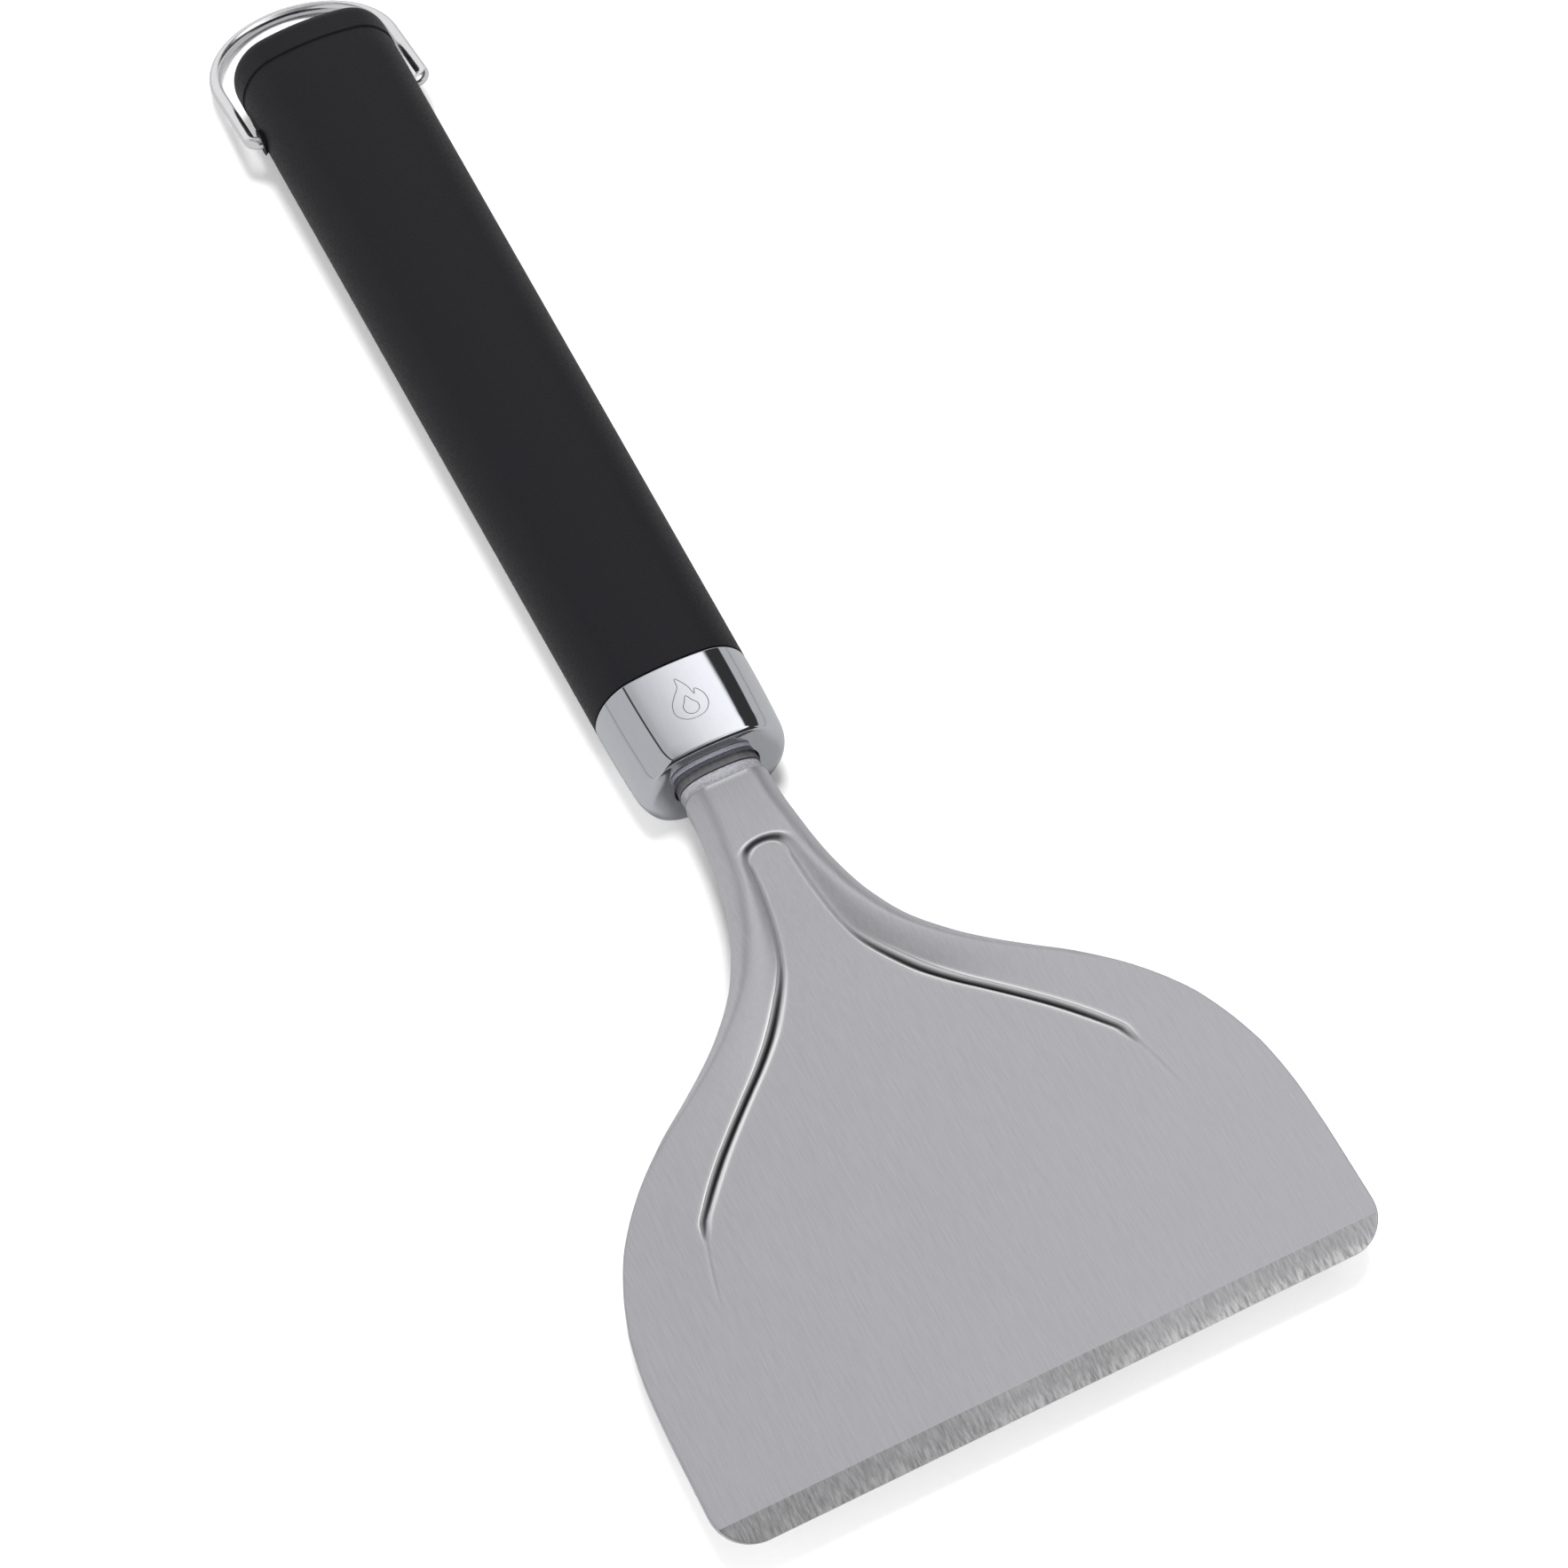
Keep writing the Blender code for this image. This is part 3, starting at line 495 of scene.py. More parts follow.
def rise(p, y, x, flat, crease):
    """Height of the sheet over the blade's flat face, and how much painted highlight and painted
    shade the crescent's step gets.
    """
    u = y / NECK_END
    neck = p.neck_top - p.up
    shoulder = neck * table(SHOULDER, u)
    tongue = (neck * TONGUE_RISE - p.step) * table(TONGUE, u)
    over = max(0.0, y - TONGUE_END * NECK_END)
    away = math.hypot(over, x)
    behind = (over / away) ** 2 if away > 0 else 0.0
    foot = lerp(crease, p.tongue_half - p.step_run / 2, behind)
    t = (away - foot) / lerp(flat - crease, p.step_run, behind)
    c = clamp(t)
    climb = lerp(1 - (1 - c) ** 2, ease(c), behind)
    # painted highlight at the step's lip and foot, painted shade on its slope
    arc = ease(2.2 * behind)
    bright = arc * (hill(t, *CRESCENT_LIP) + 0.9 * hill(t, *CRESCENT_FOOT))
    dark = arc * hill(t, *CRESCENT_DARK)
    return tongue + (shoulder - tongue) * climb + 0.0001 * bright, bright, dark


def hill(x, middle, width):
    """Smooth bump of height 1."""
    return math.exp(-((x - middle) / width) ** 2)


def blade_half(p, y):
    """Half width of the blade at a station."""
    half = lerp(p.neck_half, p.width / 2, table(BLADE_SHAPE, y / NECK_END))
    if y < p.corner:
        half += math.sqrt(p.corner ** 2 - (p.corner - y) ** 2) - p.corner
    return half


def blade_section(p, y):
    """Right half of the sheet's upper and lower line at a station, from the middle outwards."""
    u = y / NECK_END
    half = blade_half(p, y) - p.rim_round
    bend = math.radians(table(FLANGE, u))
    radius, wall = table(FLANGE, u, 2), table(FLANGE, u, 3)
    if u > 0.85:
        drop = p.neck_top + p.neck_rim - radius * (1 - math.cos(bend))
        wall += (drop / math.sin(bend) - wall) * min(1.0, (u - 0.85) / 0.1)
    reach = radius if bend > math.pi / 2 else radius * math.sin(bend) + wall * math.cos(bend)
    flat = half - reach
    crease = min(table(CREASE, u) * p.width / 2, 0.74 * flat)
    deep = table(GROOVE, u)
    press = p.groove_deep * deep
    # painted highlight along the neck's rear rim
    rear = 0.7 * hill(NECK_END - y, *REAR_SHINE)
    marks = []
    g = min(p.groove_half, 0.30 * crease, 0.42 * (flat - crease)) * (0.45 + 0.55 * deep)

    def height(x):
        s = abs(x - crease) / g
        valley = max(0.0, 1 - s) ** 1.25
        lip = hill(s, *GROOVE_LIP)
        base, bright, dark = rise(p, y, x, flat, crease)
        # painted highlight beside the groove's lips and painted shade in its bottom, added to the
        # crescent's
        marks.append((bright + rear + 1.2 * deep * hill(s, *GROOVE_SHINE),
                      dark + deep * hill(s, *GROOVE_DARK)))
        return base - press * (valley - LIP_HEIGHT * lip) + p.up

    lo, hi = crease - 2.1 * g, crease + 2.1 * g
    xs = [lo * (1 - (1 - k / 18) ** 1.2) for k in range(18)]
    xs += [lerp(lo, hi, k / 22) for k in range(22)]
    xs += [lerp(hi, flat, k / 12) for k in range(13)]
    pts = [(x, height(x)) for x in xs]
    x0, z0 = pts[-1]
    for k in range(1, 11):
        a = bend * k / 10
        pts.append((x0 + radius * math.sin(a), z0 - radius * (1 - math.cos(a))))
    x0, z0 = pts[-1]
    for k in (1, 2, 3):
        pts.append((x0 + wall * k / 3 * math.cos(bend), z0 - wall * k / 3 * math.sin(bend)))
    low = []
    for k, (x, z) in enumerate(pts):
        a = pts[k - 1] if k else (-pts[1][0], pts[1][1])
        b = pts[k + 1] if k + 1 < len(pts) else None
        tx, tz = (b[0] - a[0], b[1] - a[1]) if b else (x - a[0], z - a[1])
        long = math.hypot(tx, tz)
        low.append((x + p.sheet * tz / long, z - p.sheet * tx / long))
    cut = (p.sheet - p.edge) * clamp(1 - y / p.bevel)
    return [(x, z - cut) for x, z in pts], low, marks


def blade_ring(p, y):
    """Closed section: upper line from left to right, round the rim, lower line back."""
    top, low, marks = blade_section(p, y)
    (tx, tz), (lx, lz) = top[-1], low[-1]
    mx, mz, hx, hz = (tx + lx) / 2, (tz + lz) / 2, (tx - lx) / 2, (tz - lz) / 2
    long = math.hypot(hx, hz)
    out = (hz / long, -hx / long)
    rim = []
    for k in range(1, 8):
        a = math.pi * k / 8
        c, s = math.cos(a), math.sin(a) ** 0.6 * p.rim_round
        rim.append((mx + hx * c + out[0] * s, mz + hz * c + out[1] * s))
    right = top + rim + low[::-1]
    left = [(-x, z) for x, z in low[1:] + rim[::-1] + top[:0:-1]]
    plain = [(0.0, 0.0)] * (len(right + left) - 2 * len(marks) + 1)
    return [place(x, y, z) for x, z in right + left], len(top), len(rim), (
        marks + plain + marks[:0:-1])


def blade_rows(p):
    """Stations of the blade's rows, closer at its front, the bevel, the crescent and the neck."""
    rows = [p.corner * (1 - math.cos(math.pi / 2 * k / 14)) for k in range(15)]
    rows += [p.bevel - CREASE_EASE, p.bevel, p.bevel + CREASE_EASE]
    rows += [p.corner + ROW * k for k in range(1, 136) if p.corner + ROW * k < BODY_END]
    for start, distance, count in (FINE_ROWS, NECK_ROWS):
        rows += [start + distance * k for k in range(count)]
    rows = sorted(y for y in set(rows) if y < NECK_END - 0.0003)
    return rows + [NECK_END - 0.00015, NECK_END]


def build_blade():
    p, look = bpy.context.scene.blade_sizes, bpy.context.scene.finishes
    rows = blade_rows(p)
    rings, pressed = [], []
    for y in rows:
        ring, n_top, n_rim, press = blade_ring(p, y)
        rings.append(ring)
        pressed += press
    verts, faces = skin(rings, caps=False)
    n = len(rings[0])
    marks = []
    for r in range(len(rows) - 1):
        ground = rows[r + 1] <= p.bevel + 0.00001
        for k in range(n):
            upper = k < n_top - 1 or k >= n - n_top + 1
            marks.append(1 if ground and upper else 0)
    # the two cut ends, closed by strips between the upper and the lower line
    low_middle = 2 * (n_top - 1) + n_rim + 1
    for base in (0, (len(rings) - 1) * n):
        for way, count in ((1, low_middle // 2), (-1, (n - low_middle) // 2)):
            above = [way * k % n for k in range(count + 1)]
            below = [(low_middle - way * k) % n for k in range(count + 1)]
            for k in range(count):
                corners = dict.fromkeys((above[k], above[k + 1], below[k + 1], below[k]))
                if len(corners) >= 3:
                    faces.append(tuple(base + q for q in corners))
                    marks.append(0)
    steel = brushed("steel_blade", look.steel)
    paint_pressing_light(steel, look.pressed)
    ground = brushed("steel_bevel", look.bevel, across=1500.0, along=90.0, contrast=0.42,
                     rough=(0.24, 0.42), bump=(0.5, 0.00008))
    paint_pressing_light(ground, look.pressed, speckle=True)
    # painted highlight on the front of the bevel, stronger to the right, in place of the
    # pressing's marks
    for k, v in enumerate(verts):
        bevel_shine = clamp(1 - (v.y - FRONT_Y) / (BEVEL_SHINE * p.bevel))
        if bevel_shine > 0:
            across = ease(v.x / p.width + 0.5)
            pressed[k] = (ease(bevel_shine) * lerp(SHINE_LEFT, SHINE_RIGHT, across), 0.0)
    blade = piece("blade_sheet", verts, faces, [steel, ground], TOOL, ["blade"],
                  sharp=50.0, marks=marks)
    # painted highlight and painted shade amounts, stored per point
    for k, name in enumerate(("bright", "dark")):
        layer = blade.data.attributes.new(name, "FLOAT", "POINT")
        layer.data.foreach_set("value", [min(v[k], 1.0) for v in pressed])


# ------------------------------------------------------------------ handle sections
def handle_half(y):
    """Half width of ferrule, grip and cap at a station."""
    h, f = bpy.context.scene.handle_sizes, bpy.context.scene.ferrule_sizes
    if y < FERRULE_1:
        return h.half_front - f.taper * ((FERRULE_1 - y) / (FERRULE_1 - FERRULE_0)) ** 2
    return lerp(h.half_front, h.half_rear, (y - FERRULE_1) / (CAP_END - FERRULE_1))


def handle_ring(y, inset=0.0, side=0.0, edge=0.0, n_top=9, n_side=18):
    """Handle section, inset all round, then drawn in by side and made thinner by edge."""
    h = bpy.context.scene.handle_sizes
    w, t = handle_half(y) - inset, h.thick / 2 - inset
    big, small = h.top_radius - inset, max(h.side_radius - inset, 0.001)
    dx = w - small
    dz = math.sqrt((big - small) ** 2 - dx ** 2)
    turn = math.atan2(dz, dx)
    pts = []
    for k in range(n_top):
        a = math.pi / 2 + (turn - math.pi / 2) * k / n_top
        pts.append((big * math.cos(a), t - big + big * math.sin(a)))
    for k in range(n_side + 1):
        a = turn * (1 - k / n_side)
        pts.append((dx + small * math.cos(a), t - big + dz + small * math.sin(a)))
    drop = pts[-1][1]
    pts = [(x, z - drop * (x / w) ** 6) for x, z in pts]
    ring = pts + [(x, -z) for x, z in pts[-2::-1]]
    ring += [(-x, z) for x, z in ring[-2:0:-1]]
    sx, sz = 1 - side / handle_half(y), 1 - edge / (h.thick / 2)
    return [place(x * sx, y, z * sz) for x, z in ring]


def turn_in(left, length):
    """How far a quarter round has come in, with a length left before its end."""
    t = clamp(1 - left / length)
    return 1 - math.sqrt(1 - t * t)


def box_ring(y, half, top, low, corner, count):
    """Rounded rectangle from low to top about the handle axis, starting at the top middle."""
    mid, high = (top - low) / 2, (top + low) / 2
    n = 2.0 + 5.0 * (1.0 - min(corner, half, high) / min(half, high))
    pts = []
    for k in range(count):
        a = 2 * math.pi * k / count
        s, c = math.sin(a), math.cos(a)
        scale = (abs(s) ** n + abs(c) ** n) ** (-1.0 / n)
        pts.append(place(half * s * scale, y, mid + high * c * scale))
    return pts


def collar_ring(y, grow=0.0, count=108):
    """Section of collar and seal, larger all round by grow."""
    f = bpy.context.scene.ferrule_sizes
    return box_ring(y, f.collar_half + grow, f.collar_top + grow, f.collar_low + grow,
                    f.collar_corner + grow, count)


# ------------------------------------------------------------------ collar and seal
def build_collar():
    look = bpy.context.scene.finishes
    soft, deep = 0.00015, -0.0012          # rounding of the rims, and how deep the ends reach in
    for name, node, y0, y1, mat in (
            ("collar_sleeve", "neck_collar", COLLAR_0, COLLAR_1,
             moulded("collar_nylon", look.collar, (0.35, 0.5))),
            ("neck_gasket", "neck_seal", SEAL_0, SEAL_1,
             moulded("seal_rubber", look.seal, (0.45, 0.6)))):
        grow = 0.0 if node == "neck_collar" else -0.0001
        rings = [collar_ring(y0, grow + deep), collar_ring(y0, grow - soft)]
        rings += [collar_ring(y0 + soft * (1 - math.cos(a)), grow - soft * (1 - math.sin(a)))
                  for a in (math.pi / 8, math.pi / 4, 3 * math.pi / 8, math.pi / 2)]
        rings += [collar_ring(y1 - soft * (1 - math.sin(a)), grow - soft * (1 - math.cos(a)))
                  for a in (math.pi / 2, math.pi / 4, 0.0)]
        rings += [collar_ring(y1, grow + deep)]
        verts, faces = skin(rings, loop=True)
        piece(name, verts, faces, [mat], TOOL, [node])


# ------------------------------------------------------------------ ferrule
def ferrule_top(x):
    """Height of the ferrule's upper face over the handle axis."""
    h = bpy.context.scene.handle_sizes
    return h.thick / 2 - h.top_radius + math.sqrt(h.top_radius ** 2 - x * x)


def build_ferrule():
    f, look = bpy.context.scene.ferrule_sizes, bpy.context.scene.finishes
    clear, lip, inside = 0.0003, 0.00025, 0.0012
    rings = [handle_ring(FERRULE_1, inside), handle_ring(FERRULE_1, lip),
             handle_ring(FERRULE_1 - 0.3 * lip, 0.3 * lip), handle_ring(FERRULE_1 - lip),
             handle_ring(FERRULE_1 - 1.3 * lip), handle_ring(FERRULE_1 - 2 * lip)]
    span = FERRULE_1 - lip - FERRULE_0 - f.edge
    rings += [handle_ring(FERRULE_1 - lip - span * k / 8) for k in range(1, 8)]
    for k in range(33):
        a = math.pi / 2 * k / 32
        y = f.edge * (1 - math.sin(a))
        rings.append(handle_ring(FERRULE_0 + y, 0.0, f.draw * (1 - math.cos(a)),
                                 f.drop * turn_in(y, f.brow)))
    last = rings[-1]
    n = len(last)
    hole = collar_ring(FERRULE_0, clear + 0.0002, n)
    for t in (0.08, 0.5, 0.92):
        rings.append([a.lerp(b, t) for a, b in zip(last, hole)])
    rings += [hole, collar_ring(FERRULE_0 + 0.00006, clear + 0.00006, n),
              collar_ring(FERRULE_0 + 0.0002, clear, n), collar_ring(FERRULE_0 + 0.0052, clear, n)]
    rings += [handle_ring(FERRULE_0 + 0.0060, f.wall), handle_ring(FERRULE_1, f.wall)]
    verts, faces = skin(rings, loop=True)
    piece("ferrule_shell", verts, faces, [polished("chrome_ferrule", look.chrome)], TOOL,
          ["ferrule"], sharp=60.0)


# outline points in millimetres from the mark's middle
FLAME = ((0.0, -5.2), (2.4, -4.6), (3.8, -2.6), (3.7, -0.2), (2.5, 1.5), (1.9, 0.3), (1.3, 2.8),
         (-0.3, 5.4), (-0.7, 3.2), (-2.2, 1.4), (-3.5, -0.6), (-3.7, -2.9), (-2.2, -4.7))
EMBER = ((0.0, -4.1), (1.3, -3.5), (1.6, -2.1), (0.8, -0.8), (0.0, 0.6), (-0.8, -0.6),
         (-1.6, -1.9), (-1.3, -3.4))


def closed_curve(points, steps=6):
    """A smooth closed line through the points."""
    out, n = [], len(points)
    for k in range(n):
        p0, p1, p2, p3 = (Vector(points[(k + j) % n]) for j in (-1, 0, 1, 2))
        for s in range(steps):
            t = s / steps
            out.append(0.5 * (2 * p1 + (p2 - p0) * t + (2 * p0 - 5 * p1 + 4 * p2 - p3) * t * t
                              + (3 * p1 - p0 - 3 * p2 + p3) * t ** 3))
    return out


def build_mark():
    """A plain flame outline etched into the ferrule's upper face."""
    f, look = bpy.context.scene.ferrule_sizes, bpy.context.scene.finishes
    middle = (FERRULE_0 + f.edge + FERRULE_1) / 2 - 0.0006
    verts, faces = [], []
    for shape in (FLAME, EMBER):
        line = []
        for p in closed_curve(shape):
            x, y = p.x * MM, middle + p.y * MM
            line.append(place(x, y, ferrule_top(x) - f.mark_line * 0.36))
        v, q = skin(tube(line, f.mark_line / 2, 8, closed=True), loop=True)
        faces += [tuple(i + len(verts) for i in face) for face in q]
        verts += v
    piece("flame_mark", verts, faces,
          [brushed("etched_line", shade(look.chrome, 0.55), rough=(0.3, 0.45))], TOOL)


# ------------------------------------------------------------------ grip and end cap
def drill(obj, holes):
    """Takes round holes out of a piece; each is a list of (distance along X, radius)."""
    for stations in holes:
        rings = [[Vector((x, HINGE.y + r * math.cos(2 * math.pi * k / 48),
                          HINGE.z + r * math.sin(2 * math.pi * k / 48))) for k in range(48)]
                 for x, r in stations]
        verts, faces = skin(rings)
        mesh = bpy.data.meshes.new("drill")
        mesh.from_pydata([tuple(v) for v in verts], [], faces)
        bm = bmesh.new()
        bm.from_mesh(mesh)
        bmesh.ops.recalc_face_normals(bm, faces=bm.faces)
        bm.to_mesh(mesh)
        bm.free()
        bit = bpy.data.objects.new("drill", mesh)
        bpy.context.scene.collection.objects.link(bit)
        mod = obj.modifiers.new("hole", "BOOLEAN")
        mod.operation, mod.solver, mod.object = "DIFFERENCE", "EXACT", bit
        bpy.context.view_layer.update()
        done = bpy.data.meshes.new_from_object(
            obj.evaluated_get(bpy.context.evaluated_depsgraph_get()))
        obj.modifiers.remove(mod)
        obj.data = done
        bpy.data.objects.remove(bit)
    for poly in obj.data.polygons:
        poly.use_smooth = True
    obj.data.set_sharp_from_angle(angle=math.radians(35))


def build_grip():
    h, look = bpy.context.scene.handle_sizes, bpy.context.scene.finishes
    s = h.soft_edge
    corner = [math.pi / 2 * k / 4 for k in range(5)]
    rings = [handle_ring(GRIP_0, h.wall)]
    rings += [handle_ring(GRIP_0 + s * (1 - math.cos(a)), s * (1 - math.sin(a))) for a in corner]
    rings += [handle_ring(lerp(GRIP_0 + s, GRIP_1 - s, k / 40)) for k in range(1, 40)]
    rings += [handle_ring(GRIP_1 - s * (1 - math.sin(a)), s * (1 - math.cos(a)))
              for a in corner[::-1]]
    rings += [handle_ring(GRIP_1, h.wall)]
    verts, faces = skin(rings, loop=True)
    grip = piece("grip_shell", verts, faces, [moulded("grip_rubber", look.grip)], TOOL,
                 ["handle_grip"])
    wide = handle_half(HINGE.y - FRONT_Y)
    bore = ((0.010, 0.0), (wide - 0.0011, 0.0), (wide - 0.0004, 0.0002), (wide + 0.0006, 0.0009))
    drill(grip, [[(side * x, h.hole + wider) for x, wider in bore] for side in (-1, 1)])


def build_cap():
    h, look = bpy.context.scene.handle_sizes, bpy.context.scene.finishes
    s, rim = h.soft_edge, CAP_END - h.cap_crown
    seam, inside = GRIP_1 + 0.00012, 0.0040
    rings = [handle_ring(seam, inside), handle_ring(seam, s)]
    rings += [handle_ring(seam + s * (1 - math.cos(a)), s * (1 - math.sin(a)))
              for a in (math.pi / 8, math.pi / 4, 3 * math.pi / 8, math.pi / 2)]
    start = seam + s
    steps = 22
    for k in range(1, steps + 1):
        a = math.pi / 2 * k / steps
        y = start + (rim - start) * math.sin(a)
        rings.append(handle_ring(y, 0.0, h.cap_side * turn_in(rim - y, h.cap_turn),
                                 h.cap_edge * turn_in(rim - y, h.cap_edge)))
    flat = rings[-1]
    for k in range(1, 12):
        part = 1 - k / 12
        y = CAP_END - h.cap_crown * part ** 2 + FRONT_Y
        rings.append([Vector((p.x * part, y, AXIS_Z + (p.z - AXIS_Z) * part)) for p in flat])
    verts, faces = skin(rings)
    piece("cap_shell", verts, faces,
          [moulded("cap_rubber", shade(look.grip, 1.05), (0.42, 0.58))], TOOL, ["end_cap"],
          sharp=60.0)


# ------------------------------------------------------------------ bail
def build_bail():
    b, look = bpy.context.scene.bail_sizes, bpy.context.scene.finishes
    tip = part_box("bail")[1].y - HINGE.y - b.wire
    droop = math.acos(clamp(tip / b.length))
    half = [(b.inner, 0.0), (b.inner + 0.0004, 0.0), (b.half - b.elbow, 0.0)]
    half += [(b.half - b.elbow * (1 - math.sin(a)), b.elbow * (1 - math.cos(a)))
             for a in (math.pi / 2 * k / 10 for k in range(1, 11))]
    leg = b.length - b.arch
    half += [(b.half, lerp(b.elbow, leg, k / 6)) for k in range(1, 6)]
    half += [(b.half * math.cos(a), leg + b.arch * math.sin(a))
             for a in (math.pi / 2 * k / 30 for k in range(31))]
    line = [Vector((x, HINGE.y + s * math.cos(droop), HINGE.z - s * math.sin(droop)))
            for x, s in half + [(-x, s) for x, s in half[-2::-1]]]
    verts, faces = skin(tube(line, b.wire, 28))
    piece("bail_wire", verts, faces, [polished("wire_polish", look.wire, (0.16, 0.26))], BAIL,
          ["bail"], sharp=50.0)


# ------------------------------------------------------------------ hidden steel and core
def dress_core():
    """Finishes for the pieces inside, seen from below and behind."""
    mats = {"tang": brushed("tang_drawn", (0.40, 0.40, 0.41), 1800.0, 50.0, 0.16, (0.35, 0.55)),
            "tang_pin": brushed("pin_drawn", (0.50, 0.50, 0.51), rough=(0.3, 0.45)),
            "tang_washer": brushed("washer_zinc", (0.55, 0.55, 0.55), rough=(0.35, 0.5)),
            "tang_nut": brushed("nut_zinc", (0.58, 0.58, 0.56), rough=(0.35, 0.5)),
            "handle_core": moulded("core_nylon", (0.045, 0.045, 0.047))}
    for node, mat in mats.items():
        obj = frame["nodes"][node]
        for slot in obj.material_slots:
            slot.material = mat


# ------------------------------------------------------------------ stage
EYE = Vector((-0.1383177, -0.2358902, 0.6819779))      # camera from the front edge's middle
EYE_AXES = ((0.8972592, -0.4388161, -0.0486447), (0.3993103, 0.7595644, 0.5134328),
            (-0.1883538, -0.4801066, 0.8567499))       # right, up and back
LENS = 87.641
DARK = 0.05                  # studio walls
TOP_DIM, TOP_BRIGHT = 0.62, 1.55   # overhead panel, from its left to its right
SIDE = 0.66                  # panels on the left and low on the right
BACK = 0.85                  # wall behind the handle's end


def build_world():
    """Dark studio with a graded panel overhead and plain ones at the sides and behind."""
    world = bpy.data.worlds.new("studio")
    bpy.context.scene.world = world
    world.use_nodes = True
    n, l = world.node_tree.nodes, world.node_tree.links
    coord = n.new("ShaderNodeTexCoord")
    split = n.new("ShaderNodeSeparateXYZ")
    l.new(coord.outputs["Generated"], split.inputs[0])

    def fade(axis, start, end, low=0.0, high=1.0):
        """Soft edge of a panel between two values of the sky's direction."""
        node = n.new("ShaderNodeMapRange")
        node.interpolation_type = "SMOOTHSTEP"
        for key, value in (("From Min", start), ("From Max", end), ("To Min", low),
                           ("To Max", high)):
            node.inputs[key].default_value = value
        l.new(split.outputs[axis], node.inputs["Value"])
        return node.outputs["Result"]

    def join(kind, *sockets):
        last = sockets[0]
        for sock in sockets[1:]:
            node = n.new("ShaderNodeMath")
            node.operation = kind
            l.new(last, node.inputs[0])
            l.new(sock, node.inputs[1])
            last = node.outputs[0]
        return last

    front = join("MAXIMUM", fade("Y", 0.05, 0.28), fade("X", 0.08, 0.30, 0.50, 1.0))
    # overhead: graded across, its lower and left edges, dimmer to the back and straight above
    top = join("MULTIPLY", fade("X", -0.30, 0.50, TOP_DIM, TOP_BRIGHT), fade("Z", 0.72, 0.76),
               fade("X", -0.41, -0.38), fade("Y", 0.64, 0.54, 0.40, 1.0),
               fade("Z", 0.91, 0.85, 0.74, 1.0), front)
    left = fade("X", -0.44, -0.47, DARK, SIDE)
    back = join("MULTIPLY", fade("Y", 0.60, 0.72, 0.0, BACK), fade("Z", 0.68, 0.58),
                fade("Z", -0.20, -0.10))
    right = join("MULTIPLY", fade("X", 0.68, 0.76, 0.0, SIDE), fade("Z", 0.36, 0.30),
                 fade("Z", -0.20, -0.10))
    value = join("MAXIMUM", top, left, back, right)
    l.new(value, n["Background"].inputs["Color"])


def area_light(name, at, across, power):
    """A round lamp aimed at the tool that lights it without showing in its polish."""
    data = bpy.data.lights.new(name, "AREA")
    data.shape, data.size, data.energy = "DISK", across, power
    lamp = bpy.data.objects.new(name, data)
    lamp.location = at
    lamp.rotation_euler = (-Vector(at)).to_track_quat("-Z", "Y").to_euler()
    lamp.visible_glossy = False
    bpy.context.scene.collection.objects.link(lamp)


def floor_paper(rgb):
    """Pale paper, darker to the tool's reflections than to the eye."""
    mat = surface("floor_paper", grain_group(), {"Grain Scale": 900.0, "Mark Scale": 4.0}, "Grain",
                  "Marks", shade(rgb, 0.995), shade(rgb, 1.005), 0.0, (0.85, 0.95), (0.0, 0.0),
                  specular=0.1)
    n, l = mat.node_tree.nodes, mat.node_tree.links
    base = n["Principled BSDF"].inputs["Base Color"]
    path, mix = n.new("ShaderNodeLightPath"), n.new("ShaderNodeMix")
    mix.data_type = "RGBA"
    mix.inputs["A"].default_value = (*shade(rgb, 0.42), 1.0)
    l.new(base.links[0].from_socket, mix.inputs["B"])
    l.new(path.outputs["Is Camera Ray"], mix.inputs["Factor"])
    l.new(mix.outputs["Result"], base)
    return mat


def build_stage():
    scene, look = bpy.context.scene, bpy.context.scene.finishes
    reach = 4.0                  # half the side of the floor
    verts = [(x * reach, y * reach, 0.0) for x in (-1, 0, 1) for y in (-1, 0, 1)]
    faces = [(0, 1, 4, 3), (1, 2, 5, 4), (3, 4, 7, 6), (4, 5, 8, 7)]
    mesh = bpy.data.meshes.new("floor")
    mesh.from_pydata(verts, [], faces)
    mesh.materials.append(floor_paper(look.floor))
    floor = bpy.data.objects.new("floor", mesh)
    scene.collection.objects.link(floor)
    build_world()
    area_light("key", (0.12, 0.10, 1.30), 0.42, 14.0)
    area_light("fill", (-0.35, -1.30, 0.62), 0.7, 24.0)
    data = bpy.data.cameras.new("camera")
    data.lens, data.sensor_width = LENS, 36.0
    data.clip_start, data.clip_end = 0.01, 50.0
    cam = bpy.data.objects.new("camera", data)
    turn = Matrix(EYE_AXES).transposed().to_4x4()
    cam.matrix_world = Matrix.Translation(place(EYE.x, EYE.y, EYE.z)) @ turn
    scene.collection.objects.link(cam)
    scene.camera = cam
    scene.view_settings.view_transform = "Standard"


# ------------------------------------------------------------------ the add-on
class SPATULA_OT_blade(bpy.types.Operator):
    """Press the steel blade with its neck"""
    bl_idname = "spatula.blade"
    bl_label = "Blade"
    bl_options = {"REGISTER", "UNDO"}

    def execute(self, context):
        build_blade()
        return {"FINISHED"}


class SPATULA_OT_collar(bpy.types.Operator):
    """Mould the collar and the seal between neck and ferrule"""
    bl_idname = "spatula.collar"
    bl_label = "Collar and Seal"
    bl_options = {"REGISTER", "UNDO"}

    def execute(self, context):
        build_collar()
        return {"FINISHED"}


class SPATULA_OT_ferrule(bpy.types.Operator):
    """Form the chrome ferrule"""
    bl_idname = "spatula.ferrule"
    bl_label = "Ferrule"
    bl_options = {"REGISTER", "UNDO"}

    def execute(self, context):
        build_ferrule()
        return {"FINISHED"}


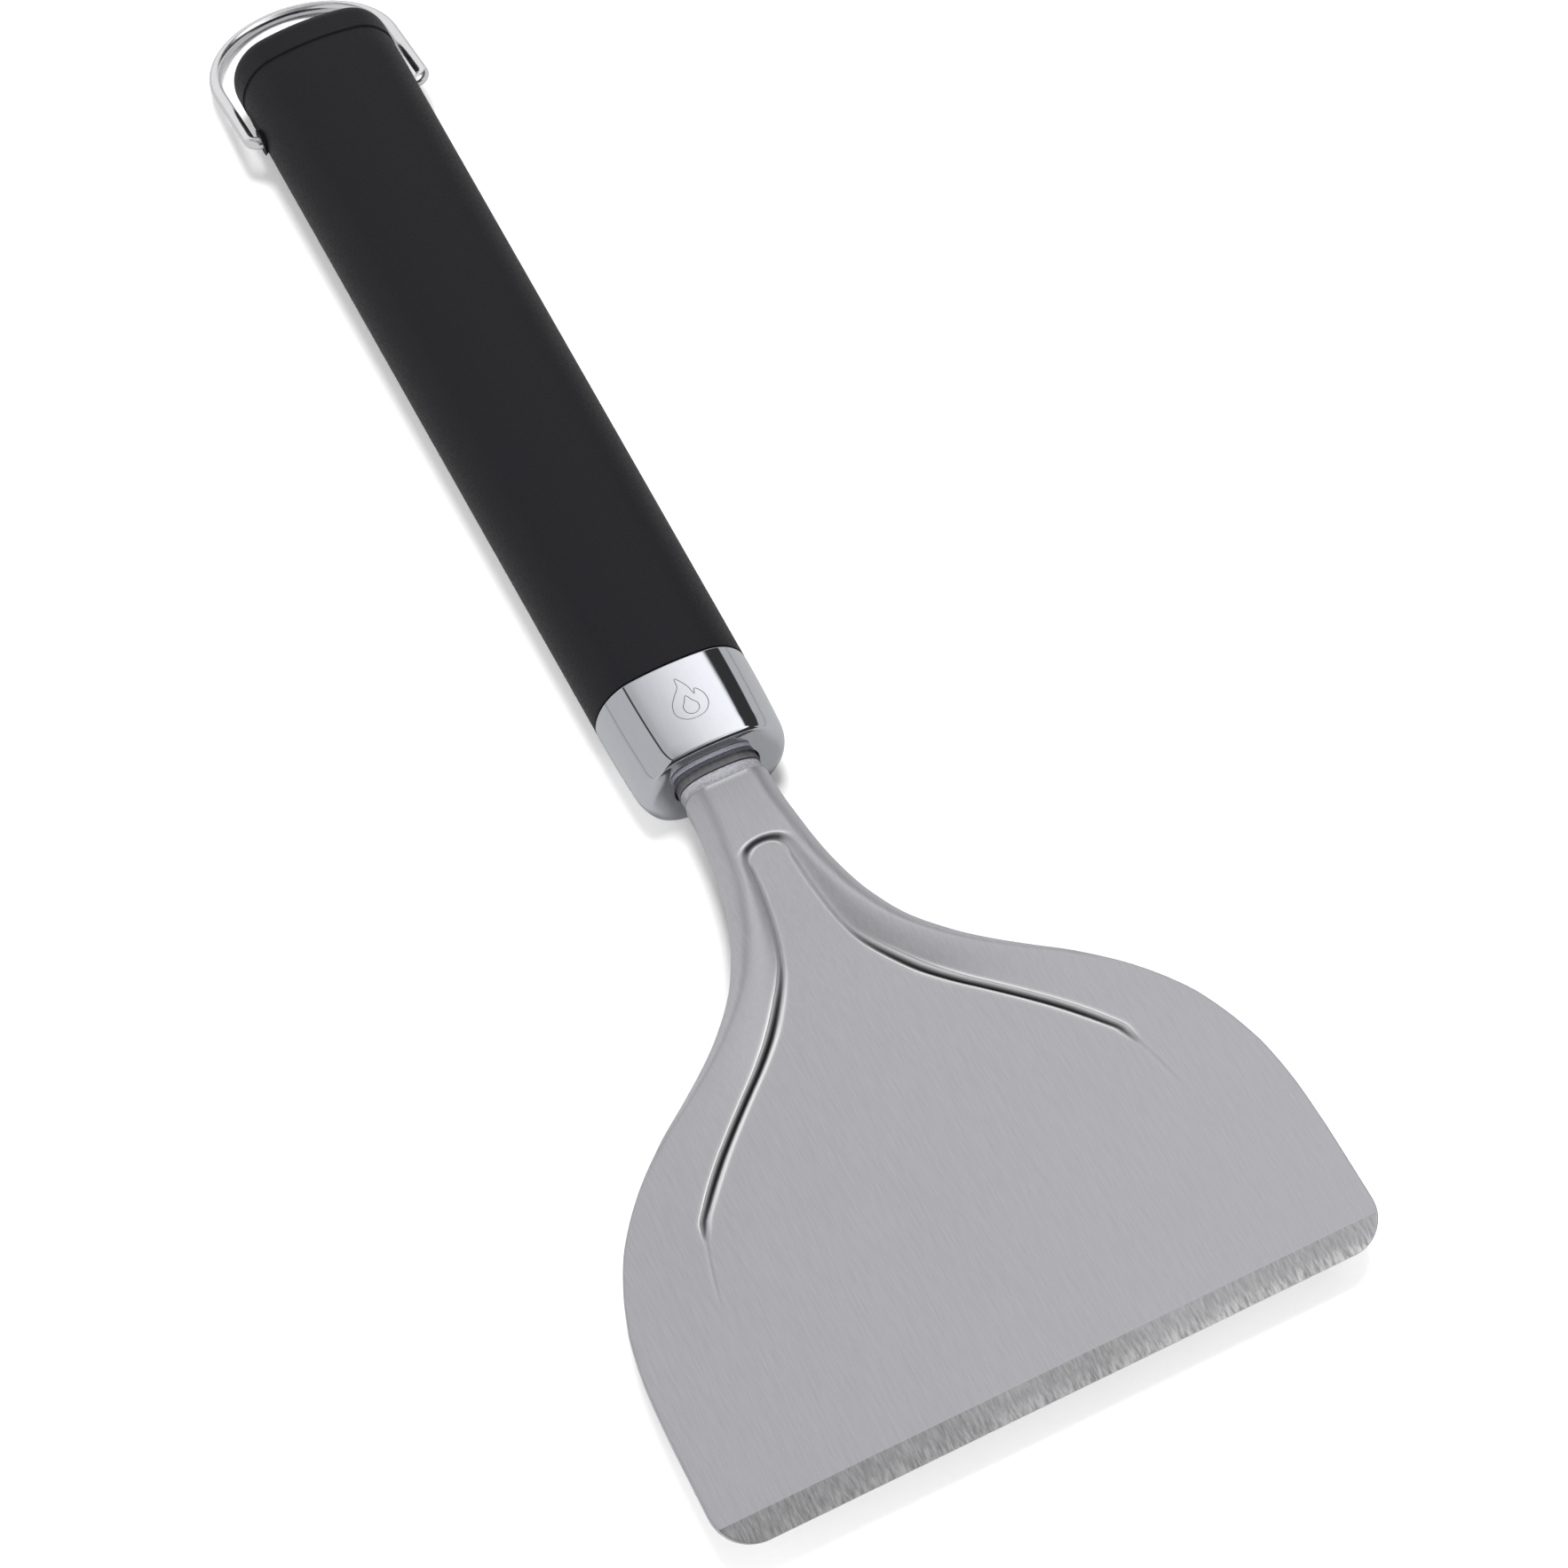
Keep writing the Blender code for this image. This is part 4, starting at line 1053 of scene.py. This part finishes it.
class SPATULA_OT_mark(bpy.types.Operator):
    """Etch the plain flame outline into the ferrule"""
    bl_idname = "spatula.mark"
    bl_label = "Flame Mark"
    bl_options = {"REGISTER", "UNDO"}

    def execute(self, context):
        build_mark()
        return {"FINISHED"}


class SPATULA_OT_grip(bpy.types.Operator):
    """Mould the soft grip with its two holes"""
    bl_idname = "spatula.grip"
    bl_label = "Grip"
    bl_options = {"REGISTER", "UNDO"}

    def execute(self, context):
        build_grip()
        return {"FINISHED"}


class SPATULA_OT_cap(bpy.types.Operator):
    """Mould the end cap"""
    bl_idname = "spatula.cap"
    bl_label = "End Cap"
    bl_options = {"REGISTER", "UNDO"}

    def execute(self, context):
        build_cap()
        return {"FINISHED"}


class SPATULA_OT_bail(bpy.types.Operator):
    """Bend the hanging wire"""
    bl_idname = "spatula.bail"
    bl_label = "Bail"
    bl_options = {"REGISTER", "UNDO"}

    def execute(self, context):
        build_bail()
        return {"FINISHED"}


class SPATULA_OT_core(bpy.types.Operator):
    """Finish the tang, its fixings and the core"""
    bl_idname = "spatula.core"
    bl_label = "Hidden Pieces"
    bl_options = {"REGISTER", "UNDO"}

    def execute(self, context):
        dress_core()
        return {"FINISHED"}


class SPATULA_OT_stage(bpy.types.Operator):
    """Lay the floor, the lights and the camera"""
    bl_idname = "spatula.stage"
    bl_label = "Stage"
    bl_options = {"REGISTER", "UNDO"}

    def execute(self, context):
        build_stage()
        return {"FINISHED"}


OPERATORS = (SPATULA_OT_blade, SPATULA_OT_collar, SPATULA_OT_ferrule, SPATULA_OT_mark,
             SPATULA_OT_grip, SPATULA_OT_cap, SPATULA_OT_bail, SPATULA_OT_core, SPATULA_OT_stage)
GROUPS = (("blade_sizes", BladeSizes), ("handle_sizes", HandleSizes),
          ("ferrule_sizes", FerruleSizes), ("bail_sizes", BailSizes), ("finishes", Finishes))


class SPATULA_PT_panel(bpy.types.Panel):
    """Sizes, colours and build buttons of the grill spatula"""
    bl_label = "Grill Spatula"
    bl_idname = "SPATULA_PT_panel"
    bl_space_type = "VIEW_3D"
    bl_region_type = "UI"
    bl_category = "Spatula"

    def draw(self, context):
        for attribute, group in GROUPS:
            box = self.layout.box()
            box.label(text=attribute.replace("_", " ").title())
            for name in group.__annotations__:
                box.prop(getattr(context.scene, attribute), name)
        for operator in OPERATORS:
            self.layout.operator(operator.bl_idname)


CLASSES = tuple(g for _, g in GROUPS) + OPERATORS + (SPATULA_PT_panel,)


def register():
    for cls in CLASSES:
        bpy.utils.register_class(cls)
    for attribute, group in GROUPS:
        setattr(bpy.types.Scene, attribute, PointerProperty(type=group))


def unregister():
    for attribute, _ in GROUPS:
        delattr(bpy.types.Scene, attribute)
    for cls in reversed(CLASSES):
        bpy.utils.unregister_class(cls)


def main():
    register()
    for operator in OPERATORS:
        getattr(bpy.ops.spatula, operator.bl_idname.split(".")[1])()


if __name__ == "__main__":
    main()
